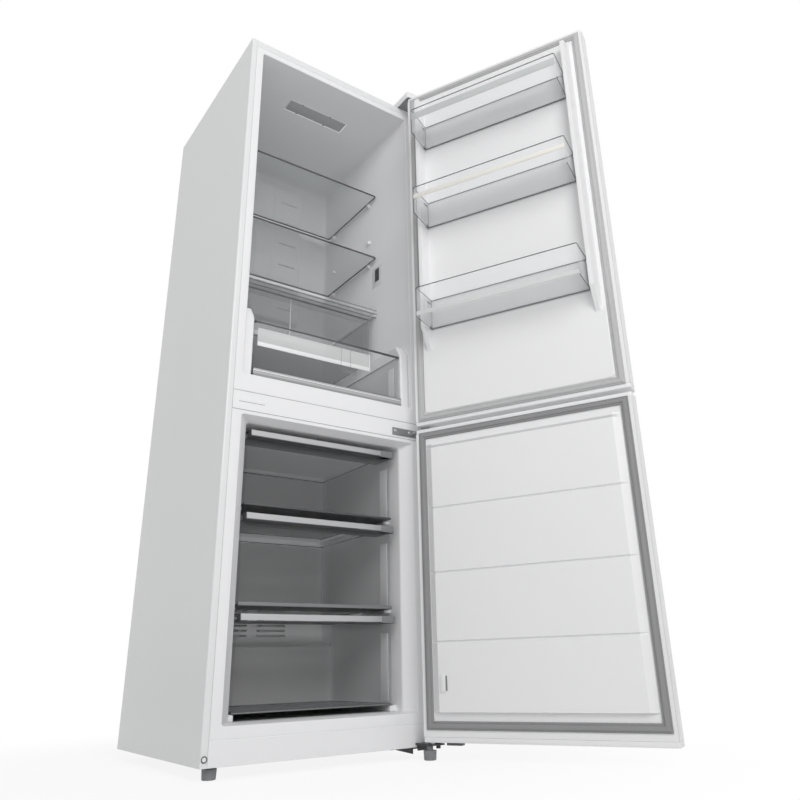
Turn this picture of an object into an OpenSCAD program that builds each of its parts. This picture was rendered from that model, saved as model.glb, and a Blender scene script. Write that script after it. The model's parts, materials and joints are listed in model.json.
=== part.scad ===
// Bottom freezer refrigerator with two hinged doors, drawers, shelves and door bins.
// Millimetres, +Z up, +Y to the rear. The origin is the floor under the middle of the cabinet.
// Both doors are drawn swung open by open_angle, which is the rest pose.

/* [Cabinet] */
// outside width of the cabinet and doors
cab_w = 595; // [585:1:600]
// depth of the cabinet without its doors
cab_d = 606; // [590:1:620]
// height of the roof above the floor
cab_top = 1985; // [1965:1:2005]
// height of the cabinet's underside above the floor
cab_bottom = 25; // [20:1:32]
// thickness of the outer steel sheet
skin_t = 1.2; // [0.8:0.1:1.6]
// thickness of the plastic inner liners
liner_t = 1.2; // [1:0.1:1.6]
// width of the steel sides' front return
flange_w = 16; // [12:1:18]
// height of the roof's front return
roof_flange_h = 22; // [16:1:26]
// height of the plinth band above the cabinet's underside
plinth_h = 51; // [45:1:56]
// thickness of the foam behind the compartments
back_foam = 64; // [56:1:72]

/* [Fridge compartment] */
// thickness of a side wall beside the fridge compartment
side_wall = 38.5; // [34:0.5:44]
// thickness of the roof over the fridge compartment
roof_wall = 40; // [34:1:50]
// floor of the fridge compartment
fridge_floor = 908; // [898:1:914]
// distance from the cabinet front to the glass shelves
shelf_set = 172; // [160:1:180]
// air between the glass shelves and the rear wall
shelf_back = 40; // [25:1:70]
// distance from the ceiling down to the upper glass shelf
shelf_1_drop = 214; // [185:1:245]
// underside of the lower glass shelf
shelf_2_z = 1487; // [1460:1:1510]
// thickness of the glass shelves
shelf_t = 5; // [4:0.5:6]
// how far a glass shelf pulls out
shelf_travel = 120; // [60:5:120]

/* [Crisper and lower drawer] */
// underside of the glass shelf over the crisper
cover_z = 1285; // [1270:1:1300]
// distance from the cabinet front to the crisper
crisper_set = 190; // [182:1:200]
// air beside the crisper
crisper_side = 21; // [19:1:29]
// air behind the crisper
crisper_back = 52; // [40:1:70]
// top of the wall blocks that carry the crisper
filler_top = 1110; // [1100:1:1116]
// height of the crisper
crisper_h = 152; // [140:1:154]
// width of the wall blocks
block_w = 28; // [24:1:34]
// air between the lower drawer and the wall blocks
flex_side = 2; // [1:0.5:5]
// air between the fridge floor and the lower drawer
flex_lift = 10; // [7:1:16]
// height of the lower drawer
flex_h = 150; // [137:1:155]
// distance from the cabinet front to the lower drawer
flex_set = 18; // [16:1:30]
// air behind the lower drawer
flex_back = 84; // [62:1:132]

/* [Freezer compartment] */
// thickness of a side wall beside the freezer compartment
freezer_wall = 67.5; // [63:0.5:72]
// thickness of a side wall at the freezer's front opening
lip_wall = 40.5; // [37:0.5:46]
// depth over which the opening narrows
lip_d = 30; // [24:1:34]
// ceiling of the freezer compartment
freezer_top = 790; // [784:1:794]
// floor of the freezer compartment
freezer_floor = 106; // [104:1:112]
// undersides of the three freezer drawers, top first
drawer_z = [588, 352, 121];
// heights of the three freezer drawers, top first
drawer_h = [187, 215, 213];
// air beside the freezer drawers
drawer_side = 14; // [13:1:22]
// distance from the cabinet front to the drawer boxes
drawer_set = 50; // [44:1:52]
// wall thickness of the clear drawers and bins
clear_t = 2.6; // [2:0.1:3.2]
// height of the aluminium bar on a freezer drawer
bar_h = 18; // [14:1:22]
// how far the bar stands in front of its box
bar_out = 20; // [14:1:22]

/* [Doors] */
// thickness of a door without its gasket
door_t = 50; // [46:1:54]
// gap between a door and the cabinet front
door_gap = 8; // [7.5:0.5:9]
// underside of the lower door
low_door_z = 40; // [38:1:42]
// top of the lower door
low_door_top = 821; // [819:1:822]
// gap between the two doors
door_split = 12; // [11:0.5:14]
// distance from the roof down to the upper door's top
door_drop = 2; // [2:1:10]
// height of the plastic caps at a door's ends
cap_h = 12; // [12:1:16]
// swing of the doors in the rest pose, degrees
open_angle = 116; // [100:1:118]
// distance of the hinge pins from the door's edge
pin_in = 18; // [16:1:20]
// distance of the hinge pins ahead of the cabinet front
pin_out = 49; // [49:1:52]
// radius of the hinge pins
pin_r = 4; // [3:0.5:5]
// running clearance round pins, stems and axles
run_gap = 0.05; // [0.02:0.01:0.1]
// distance of the gasket from the door's edge
gasket_in = 10; // [10:1:14]
// width of the gasket
gasket_w = 20; // [16:1:24]
// thickness of the gasket
gasket_t = 7; // [6:0.5:7]

/* [Door bins] */
// distance from the upper door's top down to the top bin's underside
top_bin_drop = 238; // [220:1:250]
// underside of the middle door bin
middle_bin_z = 1453; // [1440:1:1470]
// underside of the low door bin
low_bin_z = 1113; // [1108:1:1130]
// heights of the three door bins, top first
bin_h = [88, 90, 93];
// air between a door bin and the liner ridges
bin_side = 3; // [2:0.5:8]
// how far the bins reach into the closed compartment
bin_reach = 95; // [80:1:98]
// air between the liner ridges and the compartment walls
ridge_side = 7; // [4:1:12]
// width of the liner ridges
ridge_w = 16; // [12:1:16]
// how far the ridges reach into the closed compartment
ridge_reach = 35; // [28:1:36]
// how far a bin lifts off its studs
bin_lift = 40; // [20:5:40]

/* [Feet and rollers] */
// radius of the front feet
foot_r = 16; // [14:0.5:17]
// neck between the left foot's wide part and the cabinet
foot_neck = 3.5; // [3:0.5:9]
// radius of the front feet's screw stems
stem_r = 5; // [4:0.5:6]
// radius of the rear rollers
roller_r = 12; // [10:0.5:12]
// radius of the rear rollers' axles
axle_r = 3; // [2.5:0.5:4]

/* [Sliding clearance] */
// air under and beside the sliding pieces
slide_gap = 0.3; // [0.2:0.05:0.5]

/* [Hidden] */
half = cab_w / 2;
front = -cab_d / 2;
rear = cab_d / 2;
in_half = half - skin_t;
frame_half = half - flange_w;
roof_flange_z = cab_top - roof_flange_h;
strip_top = 860;
strip_low = 810;
lip_top = 801;
slot_z = 836;
lip_low = 102;
plinth_top = cab_bottom + plinth_h;
plinth_t = 2;
fridge_half = half - side_wall;
fridge_top = cab_top - roof_wall;
fridge_rear = rear - back_foam;
shelf_d = fridge_rear - shelf_back - shelf_set - front;
shelf_1_z = fridge_top - shelf_1_drop;
spare_drop = 150;
crisper_half = fridge_half - crisper_side;
crisper_d = fridge_rear - crisper_back - crisper_set - front;
filler_half = fridge_half - block_w;
filler_set = 14;
filler_slope_d = 24;
filler_slope_h = 36;
flex_half = filler_half - flex_side;
flex_z = fridge_floor + flex_lift;
flex_d = fridge_rear - flex_back - flex_set - front;
runner_w = 24;
runner_in = 16;
freezer_half = half - freezer_wall;
lip_half = half - lip_wall;
freezer_rear = fridge_rear - 10;
drawer_half = freezer_half - drawer_side;
bay_front = rear - 163;
bay_top = 210;
step_rear = bay_front - 60;
step_top = bay_top + 60;
cover_y = freezer_rear - 79;
cover_t = 3;
up_door_top = cab_top - door_drop;
up_door_z = low_door_top + door_split;
ledge_h = 8;
ledge_w = 22;
pin_x = half - pin_in;
pin_y = front - pin_out;
door_in = front - door_gap;
door_out = door_in - door_t;
gasket_half = half - gasket_in;
ridge_half = fridge_half - ridge_side - ridge_w;
bin_half = ridge_half - bin_side;
bin_z = [up_door_top - top_bin_drop, middle_bin_z, low_bin_z];
panel_half = gasket_half - gasket_w - 23.5;
liner_half = half - skin_t;
seal_rise = 17;
bush_r = 7;
bush_h = cap_h;
pan_raise = 4;
foot_h = cab_bottom - foot_neck;
foot_x = half - 33.5;
foot_y = front + 32;
stem_top = 58;
step_foot_x = pin_x - 23.5;
step_foot_y = pin_y + 3;
step_z = low_door_z - 9;
step_t = 4;
roller_x = half - 97.5;
roller_y = rear - 48;
roller_w = 16;
motor_x = 40;
motor_y = rear - 81;
motor_r = 66;
coil_top = freezer_top - 100;
coil_h = 260;
coil_half = 190;
coil_y = cover_y + 14;
coil_d = 48;
fan_y = cover_y + 22;
fan_z = coil_top - coil_h - 85;
fan_r = 52;
tube_y = [rear - 127, rear - 97, rear - 67, rear - 37];
inlet_x = half - 47.5;
inlet_z = bay_top - 30;
shaft_r = 2.5;
peg_r = 6.5;
peg_len = 12;
peg_y = [front + 223, fridge_rear - 77];
lamp_half = 105;
lamp_y0 = front + 127;
lamp_y1 = front + 178;
lamp_deep = 9;
box_rear = cover_y - 10;
stud_h = 8;
stud_l = 18;
stud_y = front + 2;
handed = [-1, 1];
$fn = 48;

module block(x0, x1, y0, y1, z0, z1) {
    translate([x0, y0, z0]) cube([x1 - x0, y1 - y0, z1 - z0]);
}

module mid_block(x, y0, y1, z0, z1) {
    block(-x, x, y0, y1, z0, z1);
}

module both_sides() {
    children();
    mirror([1, 0, 0]) children();
}

module post(x, y, z0, z1, r) {
    translate([x, y, z0]) cylinder(h = z1 - z0, r = r);
}

module along_x(x0, x1, y, z, r) {
    translate([x0, y, z]) rotate([0, 90, 0]) cylinder(h = x1 - x0, r = r);
}

module along_y(x, y0, y1, z, r) {
    translate([x, y1, z]) rotate([90, 0, 0]) cylinder(h = y1 - y0, r = r);
}

module swung() {
    translate([pin_x, pin_y, 0]) rotate([0, 0, open_angle]) translate([-pin_x, -pin_y, 0]) children();
}

// Open-topped box, its front wall at y0.
module tub(x, y0, y1, z0, z1, t) {
    difference() {
        mid_block(x, y0, y1, z0, z1);
        mid_block(x - t, y0 + t, y1 - t, z0 + t, z1 + 1);
    }
}

module side_right_shape() {
    block(half - skin_t, half, front, rear, cab_bottom, cab_top);
    block(frame_half, half - skin_t, front, front + skin_t, cab_bottom, cab_top);
}

module side_left() {
    color("white") mirror([1, 0, 0]) side_right_shape();
}

module side_right() {
    color("white") side_right_shape();
}

module roof() {
    color("white") {
        mid_block(in_half, front + skin_t, rear, cab_top - skin_t, cab_top);
        mid_block(frame_half, front, front + skin_t, roof_flange_z, cab_top);
    }
}

module back_sheet() {
    color("silver")
        mid_block(in_half, rear - skin_t, rear, bay_top + skin_t, cab_top - skin_t);
}

module base_tray() {
    color("silver") difference() {
        union() {
            mid_block(in_half, front + plinth_t, rear, cab_bottom, cab_bottom + skin_t);
            mid_block(in_half, bay_front - skin_t, bay_front, cab_bottom, bay_top + skin_t);
            mid_block(in_half, bay_front - skin_t, rear, bay_top, bay_top + skin_t);
        }
        post(-foot_x, foot_y, cab_bottom - 1, cab_bottom + skin_t + 1, stem_r + run_gap);
    }
}

module fridge_space(grow) {
    mid_block(fridge_half + grow, front - 1, fridge_rear + grow, fridge_floor - grow,
        fridge_top + grow);
}

module freezer_space(grow) {
    hull() {
        mid_block(lip_half + grow, front - 1, front, lip_low - grow, lip_top + grow);
        mid_block(freezer_half + grow, front + lip_d, front + lip_d + 1, freezer_floor - grow,
            freezer_top + grow);
    }
    mid_block(freezer_half + grow, front + lip_d, step_rear + grow, freezer_floor - grow,
        freezer_top + grow);
    mid_block(freezer_half + grow, front + lip_d, freezer_rear + grow, step_top - grow,
        freezer_top + grow);
}

module insulation() {
    color("khaki") difference() {
        mid_block(in_half, front + liner_t, rear - skin_t, cab_bottom + skin_t, cab_top - skin_t);
        mid_block(in_half + 1, front, front + plinth_t, cab_bottom, plinth_top);
        fridge_space(liner_t);
        freezer_space(liner_t);
        mid_block(in_half + 1, bay_front - skin_t, rear, cab_bottom, bay_top + skin_t);
        mid_block(lamp_half + 1, lamp_y0 - 1, lamp_y1 + 1, fridge_top, fridge_top + lamp_deep + 1);
        post(-foot_x, foot_y, cab_bottom, stem_top + 2, stem_r + 1);
    }
}

module fridge_liner() {
    color("white") difference() {
        union() {
            difference() {
                fridge_space(liner_t);
                fridge_space(0);
                mid_block(half, front - 2, front, cab_bottom, cab_top);
            }
            difference() {
                mid_block(frame_half, front, front + liner_t, strip_top, roof_flange_z);
                fridge_space(0);
            }
        }
        mid_block(lamp_half + 1, lamp_y0 - 1, lamp_y1 + 1, fridge_top - 1, fridge_top + liner_t + 1);
    }
}

module freezer_liner() {
    color("white") {
        difference() {
            freezer_space(liner_t);
            freezer_space(0);
            mid_block(half, front - 2, front, cab_bottom, cab_top);
        }
        difference() {
            mid_block(frame_half, front, front + liner_t, plinth_top, strip_low);
            mid_block(lip_half + liner_t - 0.2, front - 1, front + liner_t + 1, lip_low - liner_t + 0.2,
                lip_top + liner_t - 0.2);
        }
    }
}

// Wall blocks and ledges that the shelf, crisper and drawers stand on.
module drawer_rails() {
    color("white") both_sides() {
        translate([filler_half, 0, 0]) rotate([90, 0, 90]) linear_extrude(block_w)
            polygon([[front + filler_set, fridge_floor], [fridge_rear, fridge_floor],
                [fridge_rear, filler_top], [front + filler_set + filler_slope_d, filler_top],
                [front + filler_set, filler_top - filler_slope_h]]);
        block(fridge_half - 9, fridge_half, front + shelf_set + 12, fridge_rear,
            cover_z - ledge_h, cover_z);
        block(filler_half - runner_in - runner_w, filler_half - runner_in, front + flex_set + 4,
            fridge_rear, fridge_floor, flex_z - slide_gap);
        for (i = [0, 1])
            block(freezer_half - ledge_w, freezer_half, front + drawer_set + 4, cover_y,
                drawer_z[i] - slide_gap - ledge_h, drawer_z[i] - slide_gap);
        block(freezer_half - ledge_w, freezer_half, front + drawer_set + 4, step_rear,
            freezer_floor, drawer_z[2] - slide_gap);
    }
}

module strip_cover() {
    color("white") difference() {
        mid_block(frame_half, front, front + liner_t, strip_low, strip_top);
        block(13.5 - frame_half, 85.5 - frame_half, front - 1, front + 0.6, slot_z - 4, slot_z + 4);
    }
}

module plinth() {
    color("white") {
        mid_block(frame_half, front, front + plinth_t, cab_bottom, plinth_top);
    }
}

module air_duct() {
    color("white") difference() {
        mid_block(150, fridge_rear - 22, fridge_rear, cover_z + 60, fridge_top - 30);
        mid_block(146, fridge_rear - 18, fridge_rear + 1, cover_z + 64, fridge_top - 34);
        for (i = [0:5], k = [-1, 1])
            block(k * 90 - 34, k * 90 + 34, fridge_rear - 23, fridge_rear - 17,
                cover_z + 110 + i * 88, cover_z + 118 + i * 88);
    }
}

module lamp() {
    color("whitesmoke") {
        difference() {
            mid_block(lamp_half + 1, lamp_y0 - 1, lamp_y1 + 1, fridge_top, fridge_top + lamp_deep + 1);
            mid_block(lamp_half - 2, lamp_y0 + 2, lamp_y1 - 2, fridge_top - 1,
                fridge_top + lamp_deep - 2);
        }
        mid_block(lamp_half - 2, lamp_y0 + 2, lamp_y1 - 2, fridge_top + 2, fridge_top + 4);
    }
}

module wall_fittings() {
    color("white") {
        both_sides() for (y = peg_y, z = [shelf_1_z, shelf_1_z - spare_drop, shelf_2_z])
            along_x(fridge_half - peg_len, fridge_half, y, z - slide_gap - peg_r, peg_r);
        difference() {
            block(fridge_half - 2, fridge_half, front + 148, front + 206, 1385, 1460);
            block(fridge_half - 3, fridge_half - 0.8, front + 166, front + 189, 1407, 1455);
        }
    }
}

module freezer_cover() {
    color("white") difference() {
        mid_block(freezer_half, cover_y, cover_y + cover_t, step_top, freezer_top);
        for (i = [0:6], k = [-1, 1])
            block(k * 60 - 45, k * 60 + 45, cover_y - 1, cover_y + cover_t + 1, 300 + i * 14,
                306 + i * 14);
    }
}

module evaporator() {
    color("silver") {
        for (i = [-12:12])
            block(i * 15 - 0.4, i * 15 + 0.4, coil_y, coil_y + coil_d, coil_top - coil_h, coil_top);
        for (i = [0:5], y = [coil_y + 12, coil_y + coil_d - 12])
            along_x(-coil_half, coil_half, y, coil_top - coil_h + 25 + i * 42, 4);
        both_sides() block(coil_half - 2, coil_half, coil_y - 4, freezer_rear, coil_top - coil_h,
            coil_top);
    }
}

module fan_motor() {
    color("dimgray") {
        along_y(0, fan_y + 28, freezer_rear, fan_z, 20);
        along_y(0, fan_y - 4, fan_y + 28, fan_z, shaft_r);
        mid_block(60, freezer_rear - 6, freezer_rear, fan_z - 8, fan_z + 8);
    }
}

module fan_rotor() {
    color("gray") difference() {
        union() {
            along_y(0, fan_y, fan_y + 20, fan_z, 15);
            for (i = [0:6])
                translate([0, fan_y + 10, fan_z]) rotate([0, i * 360 / 7, 0]) translate([13, 0, 0])
                    rotate([28, 0, 0]) translate([0, -1, -13]) cube([fan_r - 15, 2, 26]);
        }
        along_y(0, fan_y - 12, fan_y + 24, fan_z, shaft_r + run_gap);
    }
}

module compressor() {
    color("dimgray") {
        translate([motor_x, motor_y, 0]) rotate_extrude($fn = 64) polygon([[0, 40], [46, 40],
            [60, 50], [motor_r, 68], [motor_r, 104], [motor_r + 3, 104], [motor_r + 3, 112],
            [motor_r, 112], [motor_r, 146], [60, 164], [44, 176], [0, 182]]);
        block(motor_x - 98, motor_x + 98, motor_y - 34, motor_y + 34, 37, 40);
        for (i = handed, k = handed)
            post(motor_x + i * 86, motor_y + k * 24, cab_bottom + skin_t, 37, 10);
        block(motor_x + motor_r - 4, motor_x + motor_r + 30, motor_y - 26, motor_y + 26, 78, 134);
    }
}

module condenser() {
    color("black") {
        for (i = [0:6], y = tube_y)
            along_x(47.5 - half, 207.5 - half, y, 50 + i * 20, 2.4);
        for (x = [51.5 - half, 201.5 - half])
            block(x - 1, x + 1, tube_y[0] - 8, tube_y[3] + 8, cab_bottom + skin_t, 184);
    }
}

module rear_cover() {
    color("gray") {
        difference() {
            mid_block(in_half, rear - skin_t, rear, cab_bottom + skin_t, bay_top);
            for (i = [0:8], k = [-2:2])
                block(k * 100 - 38, k * 100 + 38, rear - 3, rear + 1, 52 + i * 13, 57 + i * 13);
            block(inlet_x - 21, inlet_x + 21, rear - 3, rear + 1, inlet_z - 16, inlet_z + 16);
        }
        difference() {
            block(inlet_x - 21, inlet_x + 21, rear - 24, rear, inlet_z - 16, inlet_z + 16);
            block(inlet_x - 17, inlet_x + 17, rear - 20, rear + 1, inlet_z - 12, inlet_z + 12);
        }
        for (x = [inlet_x - 9, inlet_x, inlet_x + 9])
            block(x - 1, x + 1, rear - 20, rear - 4, inlet_z - 4, inlet_z + 4);
    }
}

module hinge_top() {
    color("dimgray") difference() {
        union() {
            block(pin_x - 46, pin_x + 12, pin_y - 10, front + 74, cab_top, cab_top + 3);
            post(pin_x, pin_y, up_door_top - cap_h + 1, cab_top + 3, pin_r);
        }
        translate([pin_x - 56, pin_y - 30, cab_top - 1]) rotate([0, 0, -32])
            cube([30, 60, 6]);
    }
}

module hinge_cover() {
    color("white") difference() {
        block(pin_x - 52, pin_x + 17, pin_y - 14, front + 84, cab_top, cab_top + 25);
        block(pin_x - 50, pin_x + 15, pin_y - 12, front + 82, cab_top - 1, cab_top + 22.5);
    }
}

module hinge_middle() {
    arm_z = (low_door_top + up_door_z) / 2;
    color("silver") {
        block(pin_x - 90, pin_x + 6, front - 3, front, arm_z - 10, arm_z + 11);
        block(pin_x - 26, pin_x + 9, pin_y - 9, front - 3, arm_z - 2, arm_z + 2);
        post(pin_x, pin_y, low_door_top - cap_h + 1, up_door_z + cap_h - 1, pin_r);
    }
}

// Stepped bracket: a raised front arm for the pin and the right foot, and a plate under the cabinet.
module hinge_low() {
    low = cab_bottom - 3;
    color("dimgray") {
        difference() {
            block(pin_x - 34, pin_x + 12, pin_y - 10, front, step_z, step_z + step_t);
            post(step_foot_x, step_foot_y, step_z - 1, step_z + step_t + 1, stem_r + run_gap);
        }
        block(pin_x - 28, pin_x + 12, front - 4, front, cab_bottom - 7, step_z + step_t);
        block(pin_x - 28, pin_x + 12, front - 1, front + 52, low, cab_bottom);
        block(pin_x - 92, pin_x - 27, front + 22, front + 52, low, cab_bottom);
        translate([0, front + 4, 0]) rotate([90, 0, 0]) linear_extrude(3)
            polygon([[pin_x - 88, low + 1], [pin_x - 40, cab_bottom - 14], [pin_x - 40, low],
                [pin_x - 27, low], [pin_x - 27, cab_bottom], [pin_x - 88, cab_bottom]]);
        post(pin_x, pin_y, step_z + step_t, low_door_z - 2, pin_r + 5);
        post(pin_x, pin_y, step_z - 7, step_z, pin_r + 1.5);
        post(pin_x, pin_y, step_z, low_door_z + cap_h - 1, pin_r);
    }
}

module screws() {
    arm_z = (low_door_top + up_door_z) / 2;
    color("silver") {
        for (p = [[-34, front + 20], [-6, front + 20], [-20, front + 58]])
            post(pin_x + p[0], p[1], cab_top + 3, cab_top + 6, 5);
        for (x = [-82, -34])
            along_y(pin_x + x, front - 5, front - 3, arm_z + 2, 4);
        along_y(-half + 8, front - 1.5, front, 42, 6.5);
        along_y(half - 5.5, front - 1.5, front, 62, 3.2);
        for (x = [-60, -8])
            post(pin_x + x, front + 37, cab_bottom - 6, cab_bottom - 3, 5);
    }
}

// Foot that screws up or down: a wide sole, a neck to neck_top and a threaded stem to top.
module foot(x, y, neck_r, neck_top, top) {
    color("gray") {
        post(x, y, 0, foot_h, foot_r);
        post(x, y, foot_h, neck_top - slide_gap, neck_r);
        post(x, y, foot_h, top, stem_r);
    }
}

module foot_left() {
    foot(-foot_x, foot_y, foot_r - 6, cab_bottom, stem_top);
}

module foot_right() {
    foot(step_foot_x, step_foot_y, stem_r + 2.6, step_z, low_door_z - 4);
}

module roller(s) {
    color("gray") difference() {
        along_x(s * roller_x - roller_w / 2, s * roller_x + roller_w / 2, roller_y, roller_r,
            roller_r);
        along_x(s * roller_x - 20, s * roller_x + 20, roller_y, roller_r, axle_r + run_gap);
    }
}

module roller_left() {
    roller(-1);
}

module roller_right() {
    roller(1);
}

module roller_frames() {
    color("silver") for (s = handed) {
        for (k = handed) {
            e = s * roller_x + k * (roller_w / 2 + 2);
            block(e - 1, e + 1, roller_y - 9, roller_y + 9, 5, cab_bottom);
        }
        along_x(s * roller_x - roller_w / 2 - 2, s * roller_x + roller_w / 2 + 2, roller_y, roller_r,
            axle_r);
    }
}

// Steel door skin: a front sheet with its two sides turned back.
module skin(z0, z1) {
    color("white") swung() difference() {
        mid_block(half, door_out, door_in, z0 + cap_h, z1 - cap_h);
        mid_block(half - skin_t, door_out + skin_t, door_in + 1, z0, z1);
    }
}

module foam_core(z0, z1) {
    color("khaki") swung()
        mid_block(half - skin_t, door_out + skin_t, door_in - liner_t, z0 + cap_h, z1 - cap_h);
}

// Gasket frame whose bottom run stands low_in above the door's bottom.
module gasket(z0, z1, low_in) {
    color("silver") swung() difference() {
        mid_block(gasket_half, door_in, door_in + gasket_t, z0 + low_in, z1 - gasket_in);
        mid_block(gasket_half - gasket_w, door_in - 1, door_in + gasket_t + 1,
            z0 + low_in + gasket_w, z1 - gasket_in - gasket_w);
    }
}

module end_caps(z0, z1) {
    color("white") swung() difference() {
        union() {
            mid_block(half, door_out, door_in, z0, z0 + cap_h);
            mid_block(half, door_out, door_in, z1 - cap_h, z1);
        }
        post(pin_x, pin_y, z0 - 1, z0 + cap_h + 1, bush_r);
        post(pin_x, pin_y, z1 - cap_h - 1, z1 + 1, bush_r);
    }
}

module bushes(z0, z1) {
    color("gray") swung() difference() {
        union() {
            post(pin_x, pin_y, z0, z0 + bush_h, bush_r);
            post(pin_x, pin_y, z1 - bush_h, z1, bush_r);
        }
        post(pin_x, pin_y, z0 - 1, z1 + 1, pin_r + run_gap);
    }
}

module up_skin() {
    skin(up_door_z, up_door_top);
}

module up_foam() {
    foam_core(up_door_z, up_door_top);
}

module up_gasket() {
    gasket(up_door_z, up_door_top, gasket_in);
}

module up_caps() {
    end_caps(up_door_z, up_door_top);
}

module up_bushes() {
    bushes(up_door_z, up_door_top);
}

module low_skin() {
    skin(low_door_z, low_door_top);
}

module low_foam() {
    foam_core(low_door_z, low_door_top);
}

module low_gasket() {
    gasket(low_door_z, low_door_top, gasket_in + seal_rise);
}

// The lower door's bottom cap has a stop under it, beside the hinge bracket.
module low_caps() {
    end_caps(low_door_z, low_door_top);
    color("white") swung()
        block(pin_x - 80, pin_x - 40, pin_y + 18, pin_y + 36, low_door_z - 6, low_door_z);
}

module low_bushes() {
    bushes(low_door_z, low_door_top);
}

module up_liner() {
    ridge_low = bin_z[2] - 3;
    ridge_top = up_door_top - 44;
    color("white") swung() {
        mid_block(liner_half, door_in - liner_t, door_in, up_door_z + cap_h, up_door_top - cap_h);
        mid_block(ridge_half + ridge_w, door_in, door_in + pan_raise, up_door_z + 40, ridge_top);
        both_sides() {
            block(ridge_half, ridge_half + ridge_w, door_in + pan_raise, front + ridge_reach,
                ridge_low, ridge_top);
            hull() {
                block(ridge_half, ridge_half + ridge_w, door_in + pan_raise, front + ridge_reach,
                    ridge_low - 1, ridge_low);
                block(ridge_half, ridge_half + ridge_w, door_in + pan_raise, door_in + pan_raise + 1,
                    ridge_low - 58, ridge_low);
            }
            for (i = [0:2])
                block(bin_half + slide_gap, ridge_half, stud_y, stud_y + stud_l,
                    bin_z[i] + bin_h[i] - 3 * stud_h, bin_z[i] + bin_h[i] - 2 * stud_h);
        }
    }
}

module low_liner() {
    panel_low = low_door_z + gasket_in + seal_rise + gasket_w + 16;
    panel_top = low_door_top - gasket_in - gasket_w - 16;
    groove_z = [262, 429, 594];
    panel_y = front + 4;
    color("white") swung() {
        mid_block(liner_half, door_in - liner_t, door_in, low_door_z + cap_h, low_door_top - cap_h);
        difference() {
            mid_block(panel_half, door_in, panel_y, panel_low, panel_top);
            for (z = groove_z)
                mid_block(panel_half + 1, panel_y - 2, panel_y + 1, z - 2, z + 2);
            mid_block(panel_half - 6, panel_y - 2, panel_y + 1, 757, 763);
        }
        block(panel_half - 20, panel_half - 4, panel_y, panel_y + 5, 152, 190);
    }
}

// Clear bin with side lugs that stand on the liner's studs.
module bin(i) {
    color("lightblue") swung() {
        tub(bin_half, door_in + pan_raise + 1, front + bin_reach, bin_z[i], bin_z[i] + bin_h[i],
            clear_t);
        both_sides() block(bin_half, ridge_half - slide_gap, stud_y, stud_y + stud_l,
            bin_z[i] + bin_h[i] - 2 * stud_h, bin_z[i] + bin_h[i] - stud_h);
    }
}

module bin_band(i) {
    color("white") swung() mid_block(bin_half - 1, front + bin_reach, front + bin_reach + 1.5,
        bin_z[i] + 50, bin_z[i] + 62);
}

module bin_top() {
    bin(0);
}

module bin_middle() {
    bin(1);
}

module bin_low() {
    bin(2);
}

module band_top() {
    bin_band(0);
}

module band_middle() {
    bin_band(1);
}

module glass_shelf(z) {
    color("lightblue") mid_block(fridge_half - 7, front + shelf_set, front + shelf_set + shelf_d,
        z, z + shelf_t);
}

module shelf_upper() {
    glass_shelf(shelf_1_z);
}

module shelf_lower() {
    glass_shelf(shelf_2_z);
}

module crisper_shelf() {
    set = front + shelf_set;
    color("lightblue") {
        mid_block(fridge_half, set + 12, set + shelf_d, cover_z, cover_z + shelf_t);
        mid_block(fridge_half - 6, set + 6, set + 12, cover_z - 18, cover_z + shelf_t + 3);
        mid_block(fridge_half - 6, set, set + 6, cover_z - 8, cover_z + shelf_t + 3);
    }
}

module crisper() {
    color("lightblue")
        tub(crisper_half, front + crisper_set, front + crisper_set + crisper_d, filler_top + slide_gap,
            filler_top + slide_gap + crisper_h, clear_t);
}

module flex_box() {
    color("lightblue")
        tub(flex_half, front + flex_set, front + flex_set + flex_d, flex_z, flex_z + flex_h, clear_t);
}

module flex_trim() {
    color("silver") {
        mid_block(flex_half, front + flex_set - 7, front + flex_set, flex_z - flex_lift + 2,
            flex_z + 17);
        block(12 - flex_half, 130, front + flex_set + clear_t, front + flex_set + clear_t + 3,
            flex_z + 92, flex_z + 130);
    }
}

module freezer_box(i) {
    color("lightblue")
        tub(drawer_half, front + drawer_set, i == 2 ? step_rear - 10 : box_rear, drawer_z[i],
            drawer_z[i] + drawer_h[i], clear_t);
}

// Aluminium bar along the top of a drawer's front, hollow underneath.
module bar(i) {
    top = drawer_z[i] + drawer_h[i];
    set = front + drawer_set;
    color("silver") difference() {
        mid_block(drawer_half, set - bar_out, set, top - bar_h, top);
        mid_block(drawer_half - 3, set - bar_out + 3, set - 3, top - bar_h - 1, top - 3);
    }
}

module drawer_1() {
    freezer_box(0);
}

module drawer_2() {
    freezer_box(1);
}

module drawer_3() {
    freezer_box(2);
}

module bar_1() {
    bar(0);
}

module bar_2() {
    bar(1);
}

module bar_3() {
    bar(2);
}

side_left();
side_right();
roof();
back_sheet();
base_tray();
insulation();
fridge_liner();
freezer_liner();
drawer_rails();
strip_cover();
plinth();
air_duct();
lamp();
wall_fittings();
freezer_cover();
evaporator();
fan_motor();
fan_rotor();
compressor();
condenser();
rear_cover();
hinge_top();
hinge_cover();
hinge_middle();
hinge_low();
screws();
foot_left();
foot_right();
roller_left();
roller_right();
roller_frames();
up_skin();
up_foam();
up_liner();
up_gasket();
up_caps();
up_bushes();
low_skin();
low_foam();
low_liner();
low_gasket();
low_caps();
low_bushes();
bin_top();
bin_middle();
bin_low();
band_top();
band_middle();
shelf_upper();
shelf_lower();
crisper_shelf();
crisper();
flex_box();
flex_trim();
drawer_1();
drawer_2();
drawer_3();
bar_1();
bar_2();
bar_3();
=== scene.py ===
import json
import math

import bmesh
import bpy
import numpy as np
from mathutils import Matrix, Vector


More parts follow.
